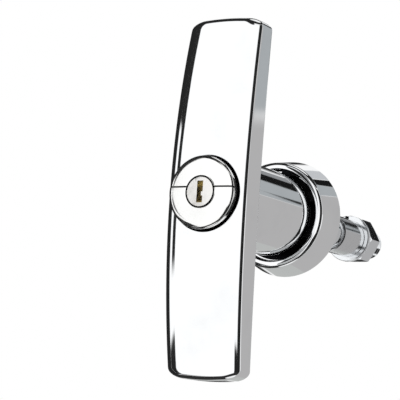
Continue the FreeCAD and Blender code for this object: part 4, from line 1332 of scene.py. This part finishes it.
@dataclass(frozen=True)
class Studio:
    """The camera, the white surround, the floor and the cards that the chrome mirrors."""

    azimuth: float = 30.46
    elevation: float = -8.21
    roll: float = 3.98
    distance: float = 0.5319
    aim: Point = (0.0, -0.052, 0.0)
    lens: float = 158.6
    sensor: float = 36.0
    shift: Span = (-0.02275, -0.014)
    sight: Span = (0.01, 20.0)
    floor_place: float = -0.118
    floor_radius: float = 0.6
    floor_steps: int = 96
    floor_colour: Point = (0.93, 0.93, 0.93)
    cards: tuple[Card, ...] = (
        Card("front_softbox", (-62.0, 36.0), (-44.0, 40.0), 1.30, (0.05, 0.05), 1.12),
        Card("rear_grey_card", (122.0, 190.0), (-62.0, 14.0), 1.20, (0.02, 0.02), 0.47, Tint.WARM),
        Card("rear_low_card", (100.0, 232.0), (-80.0, -14.0), 1.23, (0.03, 0.03), 0.52,
             Tint.GREENISH),
        Card("rear_upper_card", (146.0, 169.5), (13.0, 38.0), 1.22, (0.02, 0.03), 0.45, Tint.BLUE),
        Card("cone_blue_card", (104.0, 159.0), (31.0, 52.0), 1.21, (0.02, 0.04), 0.45, Tint.BLUE),
        Card("cone_grey_card", (104.0, 147.0), (8.0, 31.5), 1.205, (0.02, 0.03), 0.47, Tint.WARM),
        Card("rear_line_flag", (152.8, 166.0), (15.0, 19.5), 1.12, (0.1, 0.3)),
        Card("rear_black_flag", (167.0, 182.0), (14.0, 37.0), 1.10, (0.08, 0.05), 0.01),
        Card("cone_black_flag", (158.0, 171.0), (36.0, 54.0), 1.10, (0.08, 0.05), 0.01),
        Card("rear_left_card", (180.0, 192.0), (-10.0, 37.0), 1.16, (0.05, 0.05), 0.30,
             Tint.PALE_BLUE),
        Card("cone_upper_card", (171.0, 192.0), (37.0, 52.0), 1.16, (0.05, 0.05), 0.60,
             Tint.PALE_BLUE),
        Card("rim_flag", (190.0, 230.0), (-14.0, 30.0), 1.11, (0.15, 0.15), 0.03),
        Card("right_black_flag", (36.0, 97.0), (-52.0, 50.0), 1.12, (0.06, 0.04)),
        Card("left_black_flag", (-138.0, -60.0), (-50.0, 54.0), 1.12, (0.03, 0.03)),
        Card("upper_left_flag", (-64.0, -36.0), (16.0, 44.0), 1.13, (0.06, 0.06)),
        Card("inner_line_flag", (-50.0, -35.8), (9.0, 24.0), 1.14, (0.08, 0.05)),
        Card("lower_line_flag", (-50.0, -35.8), (-4.0, 8.0), 1.14, (0.08, 0.3)),
        Card("lower_corner_flag", (-62.0, -36.0), (-42.0, -10.5), 1.14, (0.08, 0.06)),
        Card("lower_right_flag", (14.0, 42.0), (-46.0, -14.5), 1.15, (0.1, 0.06)),
        Card("top_black_flag", (-180.0, 180.0), (50.0, 74.0), 1.18, (0.0, 0.03)),
        Card("top_front_flag", (-70.0, 0.0), (38.0, 52.0), 1.17, (0.12, 0.1)),
        Card("low_black_flag", (-134.0, 96.0), (-74.0, -44.0), 1.08, (0.0, 0.04), 0.03),
    )

    def camera(self) -> Piece:
        """Place the camera at the photograph's viewing angle.

        Returns:
            The camera.
        """
        turn, roll = math.radians(self.azimuth), math.radians(self.roll)
        back = direction(self.azimuth, self.elevation)
        right = Vector((math.cos(turn), math.sin(turn), 0.0))
        up = back.cross(right)
        side = math.cos(roll) * right + math.sin(roll) * up
        top = -math.sin(roll) * right + math.cos(roll) * up
        data = bpy.data.cameras.new("view_camera")
        data.lens = self.lens
        data.sensor_width = self.sensor
        data.sensor_fit = "HORIZONTAL"
        data.shift_x, data.shift_y = self.shift
        data.clip_start, data.clip_end = self.sight
        camera = bpy.data.objects.new("view_camera", data)
        turned = Matrix((side, top, back)).transposed().to_4x4()
        camera.matrix_world = Matrix.Translation(Vector(self.aim) + back * self.distance) @ turned
        bpy.context.scene.collection.objects.link(camera)
        bpy.context.scene.camera = camera
        return camera

    def surround(self) -> None:
        """Make the surround plain white for every ray."""
        world = bpy.data.worlds.new("white_surround")
        bpy.context.scene.world = world
        world.use_nodes = True
        sky = world.node_tree.nodes["Background"]
        NodeBoard(world.node_tree).feed(sky, {"Color": (1.0, 1.0, 1.0, 1.0), "Strength": 1.0})
        bpy.context.scene.view_settings.view_transform = "Standard"

    def floor(self) -> Piece:
        """Lay a pale round floor under the lock, which fades outwards and is clear from below.

        Returns:
            The floor.
        """
        shape = bmesh.new()
        bmesh.ops.create_circle(shape, cap_ends=True, segments=self.floor_steps,
                                radius=self.floor_radius)
        bmesh.ops.translate(shape, vec=(0.0, 0.0, self.floor_place), verts=shape.verts[:])
        floor = link_mesh("studio_floor", shape)
        made, board = NodeBoard.material("pale_floor")
        length = board.add("VectorMath", {0: board.add("TexCoord")["Object"]},
                           operation="LENGTH")
        fade = board.add("MapRange", {
            "Value": length["Value"], "From Min": 0.5 * self.floor_radius,
            "From Max": self.floor_radius, "To Min": 1.0, "To Max": 0.0},
            interpolation_type="SMOOTHSTEP")
        below = board.add("NewGeometry")
        above = board.add("Math", {0: fade["Result"], 1: below["Backfacing"]},
                          operation="SUBTRACT", use_clamp=True)
        board.feed(board.tree.nodes["Principled BSDF"], {
            "Base Color": (*self.floor_colour, 1.0), "Roughness": 0.8,
            "Specular IOR Level": 0.2, "Alpha": above["Value"]})
        floor.data.materials.append(made)
        floor.visible_glossy = False
        return floor

    def build(self) -> None:
        """Set up the whole studio."""
        self.camera()
        self.surround()
        self.floor()
        for card in self.cards:
            card.build()
        LOG.info("studio: %d cards", len(self.cards))


def main() -> None:
    """Build the dressed lock, piece by piece."""
    logging.basicConfig(level=logging.INFO, format="%(name)s: %(message)s")
    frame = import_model()
    Studio().build()
    finishes = Finishes()
    turner = Turner()
    HandleCasting(turner).build(finishes.chrome)
    Rosette(turner).build(finishes.chrome)
    cylinder = KeyCylinder(turner)
    cylinder.housing(finishes.cylinder)
    cylinder.plug(finishes.plug)
    spindle = SpindleEnd(turner)
    spindle.spindle(finishes.zinc)
    spindle.sleeve(finishes.sleeve)
    spindle.washer(finishes.zinc)
    spindle.nut(finishes.zinc)
    InnerWorks(frame["nodes"]).dress(finishes)


if __name__ == "__main__":
    main()
